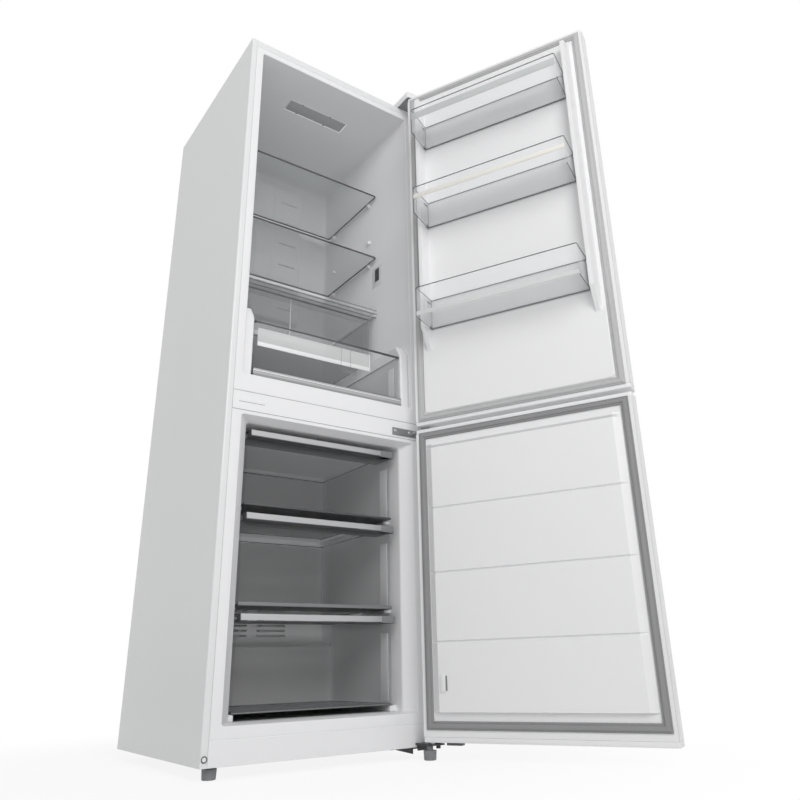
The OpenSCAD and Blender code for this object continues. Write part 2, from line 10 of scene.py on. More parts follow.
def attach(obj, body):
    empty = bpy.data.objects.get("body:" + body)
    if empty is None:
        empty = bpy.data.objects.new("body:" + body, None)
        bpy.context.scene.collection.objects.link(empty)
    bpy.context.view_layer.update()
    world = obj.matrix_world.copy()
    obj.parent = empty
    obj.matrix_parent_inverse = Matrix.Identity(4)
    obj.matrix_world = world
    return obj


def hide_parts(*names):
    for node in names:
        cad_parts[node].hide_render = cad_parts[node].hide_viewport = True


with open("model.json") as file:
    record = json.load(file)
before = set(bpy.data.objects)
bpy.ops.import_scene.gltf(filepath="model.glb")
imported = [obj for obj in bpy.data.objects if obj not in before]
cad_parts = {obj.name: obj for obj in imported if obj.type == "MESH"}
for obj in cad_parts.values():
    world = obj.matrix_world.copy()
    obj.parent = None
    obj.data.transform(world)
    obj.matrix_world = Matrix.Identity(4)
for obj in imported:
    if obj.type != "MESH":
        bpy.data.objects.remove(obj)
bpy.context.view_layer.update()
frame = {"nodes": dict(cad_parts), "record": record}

scene = bpy.context.scene
scene.view_settings.view_transform = "Standard"
MM = 0.001

# Sizes in millimetres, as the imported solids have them.
HALF = 297.5                        # half the cabinet's width
FRONT, REAR = -303.0, 303.0         # front edge of the side sheets and back of the cabinet
UNDERSIDE, TOP = 25.0, 1985.0       # ends of the side sheets
DOOR_IN, DOOR_OUT = -311.0, -361.0  # inner and outer face of a closed door
PIN = np.array([279.5, -352.0])     # hinge pins of both doors
OPEN = math.radians(116)            # how far both doors stand open at rest
UP_DOOR, LOW_DOOR = (833.0, 1983.0), (40.0, 821.0)
STRIP = (810.7, 859.3)              # cross strip between the compartments
FRAME_HALF = 281.6                  # half the width of the frames of both linings
FRIDGE_FRAME, FREEZER_FRAME = (859.6, 1963.3), (75.6, 810.4)
CEILING = 1945.0                    # top of the fridge opening
UPPER_SHELF, LOWER_SHELF = 1731.0, 1487.0
SHELF_Y = FRONT + 172.0             # front edge of every shelf
BIN_TOP, BIN_MIDDLE, BIN_LOW = (1745.0, 88.0), (1453.0, 90.0), (1113.0, 93.0)   # underside and height
DRAWER_1, DRAWER_2, DRAWER_3 = (588, 187), (352, 215), (121, 213)               # underside and height
SHEET = 1.1                         # thickness of linings and door skins


# ---------------------------------------------------------------- camera
def set_camera():
    """A view from low down at the left, fitted to the cabinet's corners; columns are right, up, backwards."""
    yaw, pitch, roll = 0.6331, 0.3705, -0.0266
    width, focal, centre_x, centre_y = 800.0, 733.49, 416.41, 381.04
    sy, cy, sp, cp = math.sin(yaw), math.cos(yaw), math.sin(pitch), math.cos(pitch)
    ahead = Vector((sy * cp, cy * cp, sp))
    right = Vector((cy, -sy, 0.0))
    up = right.cross(ahead)
    right, up = (
        right * math.cos(roll) + up * math.sin(roll), up * math.cos(roll) - right * math.sin(roll),
    )
    data = bpy.data.cameras.new("camera")
    data.sensor_width = 36.0
    data.lens = focal * data.sensor_width / width
    data.shift_x = (width / 2 - centre_x) / width
    data.shift_y = (centre_y - width / 2) / width
    data.clip_start = 0.05
    data.clip_end = 60.0
    cam = bpy.data.objects.new("camera", data)
    scene.collection.objects.link(cam)
    m = Matrix((right, up, -ahead)).transposed().to_4x4()
    m.translation = Vector((-0.9165, -1.9311, 0.2110))
    cam.matrix_world = m
    scene.camera = cam


set_camera()


# ---------------------------------------------------------------- shapes
def swing(p):
    """Points of a closed door turned to the open rest pose: pin + R(116 deg)(p - pin) in X and Y."""
    p = np.array(p, float)
    c, s = math.cos(OPEN), math.sin(OPEN)
    dx, dy = p[..., 0] - PIN[0], p[..., 1] - PIN[1]
    p[..., 0] = PIN[0] + c * dx - s * dy
    p[..., 1] = PIN[1] + s * dx + c * dy
    return p


def outline(a0, a1, b0, b1, r, n=6):
    """Rectangle with arc corners: each corner's centre + r (cos t, sin t), t a quarter turn, r per corner."""
    r = np.maximum(np.broadcast_to(np.asarray(r, float), (4,)), 1e-3)
    t = np.linspace(0, np.pi / 2, n)
    ca = np.array([a1 - r[0], a0 + r[1], a0 + r[2], a1 - r[3]])
    cb = np.array([b1 - r[0], b1 - r[1], b0 + r[2], b0 + r[3]])
    ang = t[None, :] + np.arange(4)[:, None] * np.pi / 2
    a = ca[:, None] + r[:, None] * np.cos(ang)
    b = cb[:, None] + r[:, None] * np.sin(ang)
    return np.stack([a.ravel(), b.ravel()], 1)


def lift(flat, level, axis):
    """A flat outline put in space: its two columns fill the axes other than `axis`, whose value is level."""
    out = np.empty((len(flat), 3))
    rest = [k for k in range(3) if k != axis]
    out[:, rest[0]], out[:, rest[1]], out[:, axis] = flat[:, 0], flat[:, 1], level
    return out


def loft(rings, closed=False):
    """Skin over rings of equal count: quad (i, j) joins points j, j+1 of rings i, i+1; ends are filled."""
    rings = np.asarray(rings, float)
    k, n = rings.shape[:2]
    i = np.arange(k if closed else k - 1)[:, None]
    j = np.arange(n)[None, :]
    a, b = i * n + j, i * n + (j + 1) % n
    c, d = ((i + 1) % k) * n + (j + 1) % n, ((i + 1) % k) * n + j
    faces = np.stack([a, b, c, d], -1).reshape(-1, 4).tolist()
    if not closed:
        faces += [list(range(n))[::-1], list(range((k - 1) * n, k * n))]
    return rings.reshape(-1, 3), faces


def slab(x, y, z, r=4.0, edge=1.5, axis=2, steps=3):
    """Rounded slab: outlines inset by e(1 - sin t) at depth e(1 - cos t) from each face, t a quarter turn."""
    box = [x, y, z]
    lo, hi = box[axis]
    (a0, a1), (b0, b1) = [box[k] for k in range(3) if k != axis]
    t = np.linspace(0, np.pi / 2, steps)
    ins = np.concatenate([edge * (1 - np.sin(t)), edge * (1 - np.sin(t[::-1]))])
    lev = np.concatenate([lo + edge * (1 - np.cos(t)), hi - edge * (1 - np.cos(t[::-1]))])
    return loft([
        lift(outline(a0 + q, a1 - q, b0 + q, b1 - q, max(r - q, 0.05)), h, axis)
        for q, h in zip(ins, lev)
    ])


def turned(profile, centre, axis=2, n=40, flutes=0, depth=0.0, closed=False):
    """Lathe: (radius, level) pairs round an axis; flutes scale it by 1 - depth (1 + cos(flutes a)) / 2."""
    a = np.linspace(0, 2 * np.pi, n, endpoint=False)
    wave = 1 - 0.5 * (1 + np.cos(flutes * a)) * depth if flutes else np.ones(n)
    rings = []
    for r, h in profile:
        flat = np.stack([np.cos(a), np.sin(a)], 1) * (r * wave)[:, None]
        rings.append(lift(flat, h, axis) + np.asarray(centre, float))
    return loft(rings, closed)


def along(profile, lo, hi):
    """A flat closed profile of (y, z) points carried straight along X from lo to hi, both ends filled."""
    p = np.asarray(profile, float)
    return loft([lift(p, lo, 0), lift(p, hi, 0)])


def ring_frame(x, z, section, r=1.0, axis=1, n=6, least=0.05):
    """Section points (inset, level) carried round a rectangle: each gives one inset outline at its level."""
    return loft([
        lift(outline(x[0] + q, x[1] - q, z[0] + q, z[1] - q, np.maximum(np.asarray(r) - q, least), n), h,
             axis)
        for q, h in section
    ], closed=True)


def tub(x, y, z, wall, r, foot):
    """Open box in one skin: out from the floor, a rounded foot, up the wall, over the rim and down inside."""
    draft = 1.0
    (x0, x1), (y0, y1), (z0, z1) = x, y, z
    t = np.linspace(0, np.pi / 2, 4)
    rows = [(foot * (1 - s) + draft, z0 + foot * (1 - c)) for s, c in zip(np.sin(t), np.cos(t))]
    rows += [(0.0, z1 - 0.8), (0.5, z1), (wall - 0.5, z1), (wall, z1 - 0.8)]
    rows += [(wall + draft + foot * 0.6 * (1 - c), z0 + wall + foot * 0.6 * (1 - s))
             for s, c in zip(np.sin(t), np.cos(t))]
    return loft([
        lift(outline(x0 + q, x1 - q, y0 + q, y1 - q, np.maximum(np.asarray(r) - q, 0.4), 7), h, 2)
        for q, h in rows
    ])


def relief(us, vs, height, back):
    """Height field y = height(x, z) over grid lines us, vs, closed by a flat back at y = back."""
    U, V = np.meshgrid(us, vs)
    top = np.stack([U, height(U, V), V], -1)
    k, n = U.shape
    flat = top.copy()
    flat[..., 1] = back
    rim = np.concatenate([
        np.arange(n), np.arange(1, k) * n + n - 1,
        (k - 1) * n + np.arange(n - 2, -1, -1), np.arange(k - 2, 0, -1) * n,
    ])
    i, j = np.arange(k - 1)[:, None], np.arange(n - 1)[None, :]
    a = i * n + j
    faces = np.stack([a, a + 1, a + n + 1, a + n], -1).reshape(-1, 4).tolist()
    m, base = len(rim), k * n
    q = np.arange(m)
    faces += np.stack([rim, base + q, base + (q + 1) % m, np.roll(rim, -1)], -1).tolist()
    faces.append((base + q).tolist())
    return np.concatenate([top.reshape(-1, 3), flat.reshape(-1, 3)[rim]]), faces


def smooth(lo, hi, v):
    """Smoothstep: 3t^2 - 2t^3 with t = (v - lo) / (hi - lo) held to 0..1."""
    t = np.clip((v - lo) / (hi - lo), 0, 1)
    return t * t * (3 - 2 * t)


def inside(x, z, half_x, z0, z1, r):
    """Depth inside a rounded rectangle: minus the usual signed distance to its edge."""
    qx = np.abs(x) - (half_x - r)
    qz = np.abs(z - (z0 + z1) / 2) - ((z1 - z0) / 2 - r)
    out = np.hypot(np.maximum(qx, 0), np.maximum(qz, 0)) + np.minimum(np.maximum(qx, qz), 0)
    return r - out


def lines(lo, hi, marks, coarse=16.0, fine=1.2, reach=5.0):
    """Grid lines from lo to hi: even coarse ones, and fine ones within reach of each mark."""
    got = [np.linspace(lo, hi, max(2, int((hi - lo) / coarse) + 1))]
    got += [np.arange(m - reach, m + reach + 0.01, fine) for m in marks]
    v = np.unique(np.round(np.concatenate(got), 2))
    return v[(v >= lo) & (v <= hi)]


def join(*parts):
    """Several (points, faces) meshes as one, later faces counted on from the earlier points."""
    pts, faces, base = [], [], 0
    for p, f in parts:
        pts.append(np.asarray(p, float))
        faces += [[i + base for i in face] for face in f]
        base += len(p)
    return np.concatenate(pts), faces


def mirrored(part):
    """The same shape on both sides of X = 0."""
    p, f = part
    q = np.array(p, float)
    q[:, 0] *= -1
    return join((p, f), (q, [face[::-1] for face in f]))


# ---------------------------------------------------------------- pieces
def piece(name, shape, look, body, stands_for=(), door=False, angle=35, bevel=None):
    """Makes an object from (points, faces) in millimetres, closes its seams and sets it on its body."""
    pts, faces = shape
    if door:
        pts = swing(pts)
    mesh = bpy.data.meshes.new(name)
    mesh.from_pydata((np.asarray(pts) * MM).tolist(), [], faces)
    bm = bmesh.new()
    bm.from_mesh(mesh)
    bmesh.ops.remove_doubles(bm, verts=bm.verts, dist=1e-6)
    bmesh.ops.recalc_face_normals(bm, faces=bm.faces)
    bm.to_mesh(mesh)
    bm.free()
    mesh.materials.append(look)
    mesh.shade_smooth()
    mesh.set_sharp_from_angle(angle=math.radians(angle))
    obj = bpy.data.objects.new(name, mesh)
    scene.collection.objects.link(obj)
    if bevel:
        soften(obj, bevel)
    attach(obj, body)
    if stands_for:
        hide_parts(*([stands_for] if isinstance(stands_for, str) else stands_for))
    return obj


def soften(obj, width):
    """Rounds the hard edges with a bevel of two segments."""
    b = obj.modifiers.new("edges", "BEVEL")
    b.width = width * MM
    b.segments = 2
    b.limit_method = "ANGLE"
    b.angle_limit = math.radians(35)
    b.harden_normals = False


def body_of(node):
    """The body that a node of the frame rides on."""
    for name, nodes in frame["record"]["behaviour"]["bodies"].items():
        if node in nodes:
            return name


def dressed(node, look, bevel=0.8, angle=35):
    """A merged copy of a node's mesh with softened edges, which stands for the node."""
    src = frame["nodes"][node]
    bm = bmesh.new()
    bm.from_mesh(src.data)
    bmesh.ops.remove_doubles(bm, verts=bm.verts, dist=2e-6)
    bmesh.ops.dissolve_limit(bm, angle_limit=math.radians(1), verts=bm.verts, edges=bm.edges)
    mesh = bpy.data.meshes.new("dressed_" + node)
    bm.to_mesh(mesh)
    bm.free()
    mesh.materials.append(look)
    mesh.shade_smooth()
    mesh.set_sharp_from_angle(angle=math.radians(angle))
    obj = bpy.data.objects.new("dressed_" + node, mesh)
    obj.matrix_world = src.matrix_world
    scene.collection.objects.link(obj)
    if bevel:
        soften(obj, bevel)
    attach(obj, body_of(node))
    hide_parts(node)
    return obj


def repaint(node, look):
    """Gives a node that stays as it is its own finish."""
    slots = frame["nodes"][node].data.materials
    slots.clear()
    slots.append(look)


# ---------------------------------------------------------------- finishes
def add(tree, kind, **settings):
    """A new shader node of a kind, with its settings."""
    made = tree.nodes.new("ShaderNode" + kind)
    for key, value in settings.items():
        setattr(made, key, value)
    return made


def group(name, ins, outs):
    """A node group with named float, colour and vector sockets."""
    g = bpy.data.node_groups.new(name, "ShaderNodeTree")
    kind = {"f": "NodeSocketFloat", "c": "NodeSocketColor", "v": "NodeSocketVector"}
    for n, k, *d in ins:
        s = g.interface.new_socket(name=n, in_out="INPUT", socket_type=kind[k])
        if d:
            s.default_value = d[0]
    for n, k in outs:
        g.interface.new_socket(name=n, in_out="OUTPUT", socket_type=kind[k])
    return g, g.nodes.new("NodeGroupInput"), g.nodes.new("NodeGroupOutput")


def wire(tree, a, a_out, b, b_in):
    """Links an output of one node to an input of another."""
    tree.links.new(a.outputs[a_out], b.inputs[b_in])


def grain_group():
    """Surface grain: two octaves of noise give a tone shift, a roughness shift and a fine height."""
    g, i, o = group(
        "surface_grain",
        [("Tone", "c", (0.9, 0.9, 0.9, 1)), ("Shade", "c", (0.8, 0.8, 0.8, 1)), ("Stretch", "v", (1, 1, 1)),
         ("Cloud Scale", "f", 3.0), ("Grain Scale", "f", 400.0), ("Cloud", "f", 0.2),
         ("Roughness", "f", 0.4), ("Roughness Spread", "f", 0.08)],
        [("Colour", "c"), ("Roughness", "f"), ("Height", "f")],
    )
    co = add(g, "TexCoord")
    scale = add(g, "VectorMath", operation="MULTIPLY")
    wire(g, co, "Object", scale, 0)
    wire(g, i, "Stretch", scale, 1)
    cloud = add(g, "TexNoise")
    cloud.inputs["Detail"].default_value = 3
    fine = add(g, "TexNoise")
    fine.inputs["Detail"].default_value = 2
    wire(g, scale, 0, cloud, "Vector")
    wire(g, scale, 0, fine, "Vector")
    wire(g, i, "Cloud Scale", cloud, "Scale")
    wire(g, i, "Grain Scale", fine, "Scale")
    amount = add(g, "Math", operation="MULTIPLY")
    wire(g, cloud, "Fac", amount, 0)
    wire(g, i, "Cloud", amount, 1)
    mix = add(g, "Mix", data_type="RGBA")
    wire(g, amount, 0, mix, 0)
    wire(g, i, "Tone", mix, 6)
    wire(g, i, "Shade", mix, 7)
    wire(g, mix, 2, o, "Colour")
    centred = add(g, "Math", operation="SUBTRACT")
    centred.inputs[1].default_value = 0.5
    wire(g, fine, "Fac", centred, 0)
    rough = add(g, "Math", operation="MULTIPLY_ADD")
    wire(g, centred, 0, rough, 0)
    wire(g, i, "Roughness Spread", rough, 1)
    wire(g, i, "Roughness", rough, 2)
    wire(g, rough, 0, o, "Roughness")
    wire(g, fine, "Fac", o, "Height")
    return g


GRAIN = grain_group()


def finish(name, tone, shade, rough, spread=0.08, metal=0.0, scales=(3.0, 400.0), stretch=(1, 1, 1),
           bump=0.08, depth=0.0002, coat=0.0, spec=0.5, alpha=None, glow=None):
    """A finish: the grain group feeds colour, roughness and bump of one shader; constants sit on its sockets.

    scales: of cloudy tone and fine grain; alpha: (face on, edge on, blend); glow: (r, g, b, strength)."""
    m = bpy.data.materials.new(name)
    m.use_nodes = True
    t = m.node_tree
    b = t.nodes["Principled BSDF"]
    g = add(t, "Group", node_tree=GRAIN)
    for k, v in (("Tone", (*tone, 1)), ("Shade", (*shade, 1)), ("Stretch", stretch),
                 ("Cloud Scale", scales[0]), ("Grain Scale", scales[1]), ("Cloud", 0.5),
                 ("Roughness", rough), ("Roughness Spread", spread * 2)):
        g.inputs[k].default_value = v
    wire(t, g, "Colour", b, "Base Color")
    wire(t, g, "Roughness", b, "Roughness")
    n = add(t, "Bump")
    n.inputs["Strength"].default_value = bump
    n.inputs["Distance"].default_value = depth
    wire(t, g, "Height", n, "Height")
    wire(t, n, "Normal", b, "Normal")
    b.inputs["Metallic"].default_value = metal
    b.inputs["Coat Weight"].default_value = coat
    b.inputs["Specular IOR Level"].default_value = spec
    if alpha is not None:
        facing = add(t, "LayerWeight")
        facing.inputs["Blend"].default_value = alpha[2]
        ramp = add(t, "MapRange")
        ramp.inputs["To Min"].default_value = alpha[0]
        ramp.inputs["To Max"].default_value = alpha[1]
        wire(t, facing, "Facing", ramp, "Value")
        wire(t, ramp, "Result", b, "Alpha")
    if glow:
        b.inputs["Emission Color"].default_value = (*glow[:3], 1)
        b.inputs["Emission Strength"].default_value = glow[3]
    return m


enamel = finish("white_enamel", (0.80, 0.805, 0.81), (0.76, 0.765, 0.77), 0.3, 0.06,
                scales=(2.0, 220.0), bump=0.05, depth=0.0003, coat=0.15)
moulded = finish("white_moulding", (0.87, 0.87, 0.88), (0.83, 0.83, 0.84), 0.38, 0.08,
                 scales=(2.5, 900.0), bump=0.06)
soft_white = finish("door_lining", (0.87, 0.87, 0.875), (0.83, 0.83, 0.84), 0.42, 0.08,
                    scales=(2.0, 700.0), bump=0.05)
seal_grey = finish("grey_seal", (0.54, 0.54, 0.545), (0.46, 0.46, 0.465), 0.6, 0.1,
                   scales=(9.0, 1200.0), bump=0.12, spec=0.3)
seal_dark = finish("dark_seal", (0.31, 0.31, 0.315), (0.25, 0.25, 0.255), 0.6, 0.1,
                   scales=(9.0, 1200.0), bump=0.12, spec=0.3)
zinc = finish("zinc_plate", (0.36, 0.365, 0.37), (0.26, 0.265, 0.27), 0.38, 0.14, metal=0.9,
              scales=(30.0, 500.0), stretch=(1, 1, 0.2), bump=0.1)
bright_pin = finish("bright_pin", (0.78, 0.78, 0.79), (0.6, 0.6, 0.61), 0.22, 0.1, metal=1.0,
                    scales=(60.0, 900.0), stretch=(1, 1, 0.1))
satin = finish("satin_bar", (0.50, 0.50, 0.51), (0.42, 0.42, 0.43), 0.34, 0.12,
               metal=0.85, scales=(14.0, 900.0), stretch=(0.02, 1, 1), bump=0.12)
graphite = finish("graphite_trim", (0.085, 0.085, 0.09), (0.055, 0.055, 0.06), 0.42, 0.1,
                  scales=(12.0, 800.0), bump=0.1)
mid_grey = finish("grey_moulding", (0.23, 0.235, 0.24), (0.17, 0.175, 0.18), 0.5, 0.12,
                  scales=(14.0, 700.0), bump=0.14)
black = finish("black_paint", (0.03, 0.03, 0.032), (0.05, 0.05, 0.05), 0.45, 0.15,
               scales=(18.0, 300.0), bump=0.2, coat=0.2)
foam = finish("rigid_foam", (0.66, 0.64, 0.58), (0.56, 0.54, 0.48), 0.85, 0.1, scales=(20.0, 260.0),
              bump=0.5, depth=0.001)
clear = finish("clear_moulding", (0.84, 0.86, 0.87), (0.76, 0.78, 0.80), 0.06, 0.03,
               scales=(4.0, 120.0), bump=0.02, alpha=(0.05, 0.40, 0.35))
band_pale = finish("faint_band", (0.92, 0.92, 0.92), (0.88, 0.88, 0.88), 0.3, 0.1,
                   scales=(8.0, 600.0), bump=0.06, alpha=(0.45, 0.7, 0.3))
band_white = finish("bright_band", (0.93, 0.91, 0.85), (0.89, 0.87, 0.81), 0.35, 0.1,
                    scales=(8.0, 600.0), bump=0.06, alpha=(0.88, 0.97, 0.3))
band_grey = finish("pale_band", (0.66, 0.68, 0.68), (0.58, 0.60, 0.60), 0.3, 0.1,
                   scales=(8.0, 600.0), bump=0.06, alpha=(0.55, 0.8, 0.3))
milky = finish("milky_moulding", (0.62, 0.63, 0.64), (0.56, 0.57, 0.58), 0.10, 0.04,
               scales=(4.0, 200.0), bump=0.02, spec=0.35, alpha=(0.04, 0.34, 0.3))
smoky = finish("smoky_moulding", (0.40, 0.41, 0.42), (0.34, 0.35, 0.36), 0.08, 0.04,
               scales=(4.0, 160.0), bump=0.02, alpha=(0.20, 0.6, 0.3))
edge_tint = finish("clear_edge", (0.10, 0.105, 0.11), (0.06, 0.065, 0.07), 0.12, 0.06,
                   scales=(20.0, 300.0), bump=0.03, alpha=(0.82, 0.97, 0.4))
glass = finish("shelf_glass", (0.70, 0.74, 0.74), (0.64, 0.68, 0.68), 0.03, 0.02,
               scales=(3.0, 60.0), bump=0.01, alpha=(0.14, 0.6, 0.35))
frost = finish("frosted_band", (0.86, 0.87, 0.88), (0.80, 0.81, 0.82), 0.4, 0.1,
               scales=(8.0, 600.0), bump=0.08, alpha=(0.62, 0.85, 0.3))
lens = finish("lamp_lens", (0.50, 0.50, 0.51), (0.40, 0.40, 0.41), 0.5, 0.08,
              scales=(40.0, 900.0), bump=0.1)
# A faint glow used as a painted highlight on two edges of the unlit ceiling lamp.
painted_highlight_glow = finish("painted_highlight_glow", (0.95, 0.95, 0.95), (0.9, 0.9, 0.9), 0.4, 0.1,
                   glow=(1.0, 1.0, 1.0, 0.35))
# Grey used as painted shade on the lower strip of the flexible drawer's band.
band_painted_shade = finish("painted_shade_band", (0.36, 0.36, 0.365), (0.30, 0.30, 0.305), 0.4, 0.1,
                   scales=(10.0, 700.0), stretch=(0.05, 1, 1), bump=0.06)
band_silver = finish("silver_band", (0.50, 0.50, 0.505), (0.44, 0.44, 0.445), 0.32, 0.1,
                     scales=(10.0, 700.0), stretch=(0.05, 1, 1), bump=0.06, coat=0.2)
back_grey = finish("galvanised_sheet", (0.50, 0.51, 0.52), (0.40, 0.41, 0.42), 0.42, 0.16,
                   metal=0.55, scales=(26.0, 60.0), bump=0.06)
fins = finish("bare_fins", (0.72, 0.73, 0.74), (0.6, 0.61, 0.62), 0.3, 0.12, metal=1.0,
              scales=(20.0, 500.0))


# ---------------------------------------------------------------- outer cabinet
def side_sheet():
    """Steel side: an L in plan whose front corner is an arc of 4, carried up from underside to roof."""
    t = np.linspace(0, np.pi / 2, 6)
    r, wall, flange = 4.0, 1.2, 15.9
    x, y = HALF - r, FRONT + r
    outer = np.stack([x + r * np.cos(t), y - r * np.sin(t)], 1)
    inner = np.stack([x + (r - wall) * np.cos(t[::-1]), y - (r - wall) * np.sin(t[::-1])], 1)
    edge = [[HALF - flange + 0.7, FRONT], [HALF - flange, FRONT + 0.5], [HALF - flange, FRONT + 0.95]]
    plan = np.concatenate([[[HALF, REAR]], outer, edge, inner, [[HALF - wall, REAR]]])
    return loft([lift(plan, z, 2) for z in (UNDERSIDE, UNDERSIDE + 1.0, TOP - 0.8, TOP)])


right_side = side_sheet()
left_pts = right_side[0].copy()
left_pts[:, 0] *= -1
piece("side_panel_right", right_side, enamel, "cabinet", "side_right", angle=30)
piece("side_panel_left", (left_pts, [f[::-1] for f in right_side[1]]), enamel, "cabinet", "side_left",
      angle=30)
dressed("roof", enamel, 0.5)
dressed("base_tray", zinc, 0)


def strip():
    """Cross strip: height falls off in the last millimetre at the edges; a pill of 72 x 8 is 0.9 proud."""
    half = FRAME_HALF - 1.0
    us = lines(-half, half, [-280, 280, -267, -195, -263, -199], 14.0, 0.6, 2.4)
    vs = lines(*STRIP, [811, 859, 832, 840], 6.0, 0.6, 2.0)

    def height(x, z):
        edge = smooth(0.0, 1.1, inside(x, z, half, *STRIP, 0.6))
        pill = smooth(0, 0.6, inside(x + 231, z, 36, 832, 840, 3.9))
        return FRONT + 0.85 - 0.8 * edge - 0.9 * pill

    return relief(us, vs, height, FRONT + 1.2)


piece("strip_cover", strip(), moulded, "cabinet", "strip_cover", angle=45)

# Dark lines in the joints of the strip, above the plinth and beside the frames, and a line under the strip's
# pill that is painted shadow.
seams = [slab((-281.2, 281.2), (FRONT + 0.15, FRONT + 1.1), (z - 0.35, z + 0.35), 0.3, 0.1, axis=0)
         for z in (810.5, 859.5)]
# A line under the pill only: painted shadow of the raised pill.
seams.append(slab((-265, -197), (FRONT - 0.3, FRONT + 0.6), (830.9, 831.8), 0.3, 0.1, axis=0))
piece("strip_seams", join(*seams), mid_grey, "cabinet", "strip_cover")
dressed("plinth", moulded, 0.8)
seam = [slab((-281.3, 281.3), (FRONT + 0.2, FRONT + 1.0), (74.6, 75.6), 0.3, 0.1, axis=0),
        slab((279.6, 281.4), (FRONT - 0.1, FRONT + 1.0), (73.6, 76.0), 0.6, 0.2, axis=0)]
piece("plinth_seam", join(*seam), graphite, "cabinet", "plinth")
seam = slab((281.3, 281.9), (FRONT + 0.3, FRONT + 1.0), (30, 1962), 0.2, 0.1, axis=2)
piece("flange_seams", mirrored(seam), mid_grey, "cabinet", "fridge_liner")
repaint("insulation", foam)


def rear_sheet():
    """Back sheet with two pressed X ribs and a border bead: height is a sum of ridges over the sheet."""
    us = lines(-296, 296, [-262, 262], 8.0, 3.0, 9.0)
    vs = lines(212, 1983.5, [240, 1955, 1090], 12.0, 3.0, 9.0)

    def height(x, z):
        bead = np.exp(-((inside(x, z, 264, 236, 1958, 30) / 6.0) ** 2))
        zz = np.where(z > 1096, z - 1524, z - 666) / 400.0
        cross = np.minimum(np.abs(x / 232.0 - zz), np.abs(x / 232.0 + zz)) * 200
        fade = smooth(10, 34, inside(x, z, 250, 256, 1938, 20)) * smooth(14, 40, np.abs(z - 1096))
        return REAR - 1.0 + 0.95 * np.maximum(bead, fade * np.exp(-((cross / 8.0) ** 2)))

    return relief(us, vs, height, REAR - 1.2)


piece("rear_sheet", rear_sheet(), back_grey, "cabinet", "back_sheet")


# ---------------------------------------------------------------- compartments
def shell(rows, backed):
    """Lining in one closed skin: outlines from the frame inwards, backed from the fourth one on.

    A row is (half width, low z, high z, corner radius, y); the backing is SHEET outside it at backed(y)."""
    front = [lift(outline(-a, a, b, c, r), y, 1) for a, b, c, r, y in rows]
    back = [lift(outline(-a - SHEET, a + SHEET, b - SHEET, c + SHEET, r + 1), backed(y), 1)
            for a, b, c, r, y in rows[3:]][::-1]
    a, b, c, r = rows[0][:4]
    rim = lift(outline(-a, a, b, c, r), FRONT + 1.15, 1)
    inner, outer = loft(front), loft([*back, rim])
    pts, faces = join(inner, outer)
    k = len(rim)
    rim_start = len(inner[0]) + len(back) * k
    faces = [f for f in faces if not (len(f) == k and min(f) in (0, rim_start))]
    a, b = np.arange(k), rim_start + np.arange(k)
    faces += np.stack([a, np.roll(a, -1), np.roll(b, -1), b], -1).tolist()
    return pts, faces


def fridge_shell():
    """Fridge lining: frame, an opening rolled by 3, walls with a shallow step, rear corners rounded by 14."""
    t = np.linspace(0, np.pi / 2, 5)
    arc = list(zip(np.sin(t), np.cos(t)))
    x, z0, z1 = 259.0, 908.0, CEILING
    rows = [(FRAME_HALF, *FRIDGE_FRAME, 1.0, FRONT + 1.05), (280.6, 861.0, 1962.3, 1.0, FRONT + 0.75),
            (279.9, 861.7, 1961.6, 1.0, FRONT + 0.05)]
    rows += [(x + 3 * (1 - s), z0 - 3 * (1 - s), z1 + 3 * (1 - s), 7.0, FRONT + 0.05 + 3 * (1 - c))
             for s, c in arc]
    rows.append((x, z0, z1, 8.0, FRONT + 120))
    x, z1 = x - 1.6, z1 - 0.5
    rows += [(x, z0, z1, 9.0, FRONT + 124), (x, z0, z1, 10.0, 200.0)]
    rows += [(x - 14 * (1 - c), z0 + 14 * (1 - c), z1 - 14 * (1 - c), 22.0, 224.9 + 14 * s) for s, c in arc]
    return shell(rows, lambda y: min(y + SHEET, 239.9))


def freezer_shell():
    """Freezer lining: frame, an opening that narrows through a lip, deep walls, a step over the machinery."""
    t = np.linspace(0, np.pi / 2, 5)
    rows = [(FRAME_HALF, *FREEZER_FRAME, 1.0, FRONT + 1.05), (280.6, 76.8, 809.2, 1.0, FRONT + 0.75),
            (279.9, 77.5, 808.5, 1.0, FRONT + 0.05)]
    rows += [(255.6 + 1.6 * (1 - s), 102.2 - 1.6 * (1 - s), 800.4 + 1.6 * (1 - s), 7.0,
              FRONT + 0.05 + 1.6 * (1 - c)) for s, c in zip(np.sin(t), np.cos(t))]
    rows += [(a, b, c, 9.0, y) for a, b, c, y in (
        (231.8, 105.7, 790.7, FRONT + 28), (230.3, 106.0, 790.0, FRONT + 31),
        (230.0, 106.0, 790.0, FRONT + 36),
        (230.0, 106.0, 790.0, 74.0), (229.0, 108.0, 789.0, 79.8), (229.0, 271.0, 789.0, 80.0),
        (229.0, 271.0, 789.0, 222.0), (226.0, 275.0, 786.0, 228.0))]
    return shell(rows, lambda y: y + (SHEET if y < -290 or y > 79 else 0.0))


piece("fridge_lining", fridge_shell(), moulded, "cabinet", "fridge_liner", angle=30)
piece("freezer_lining", freezer_shell(), moulded, "cabinet", "freezer_liner", angle=30)

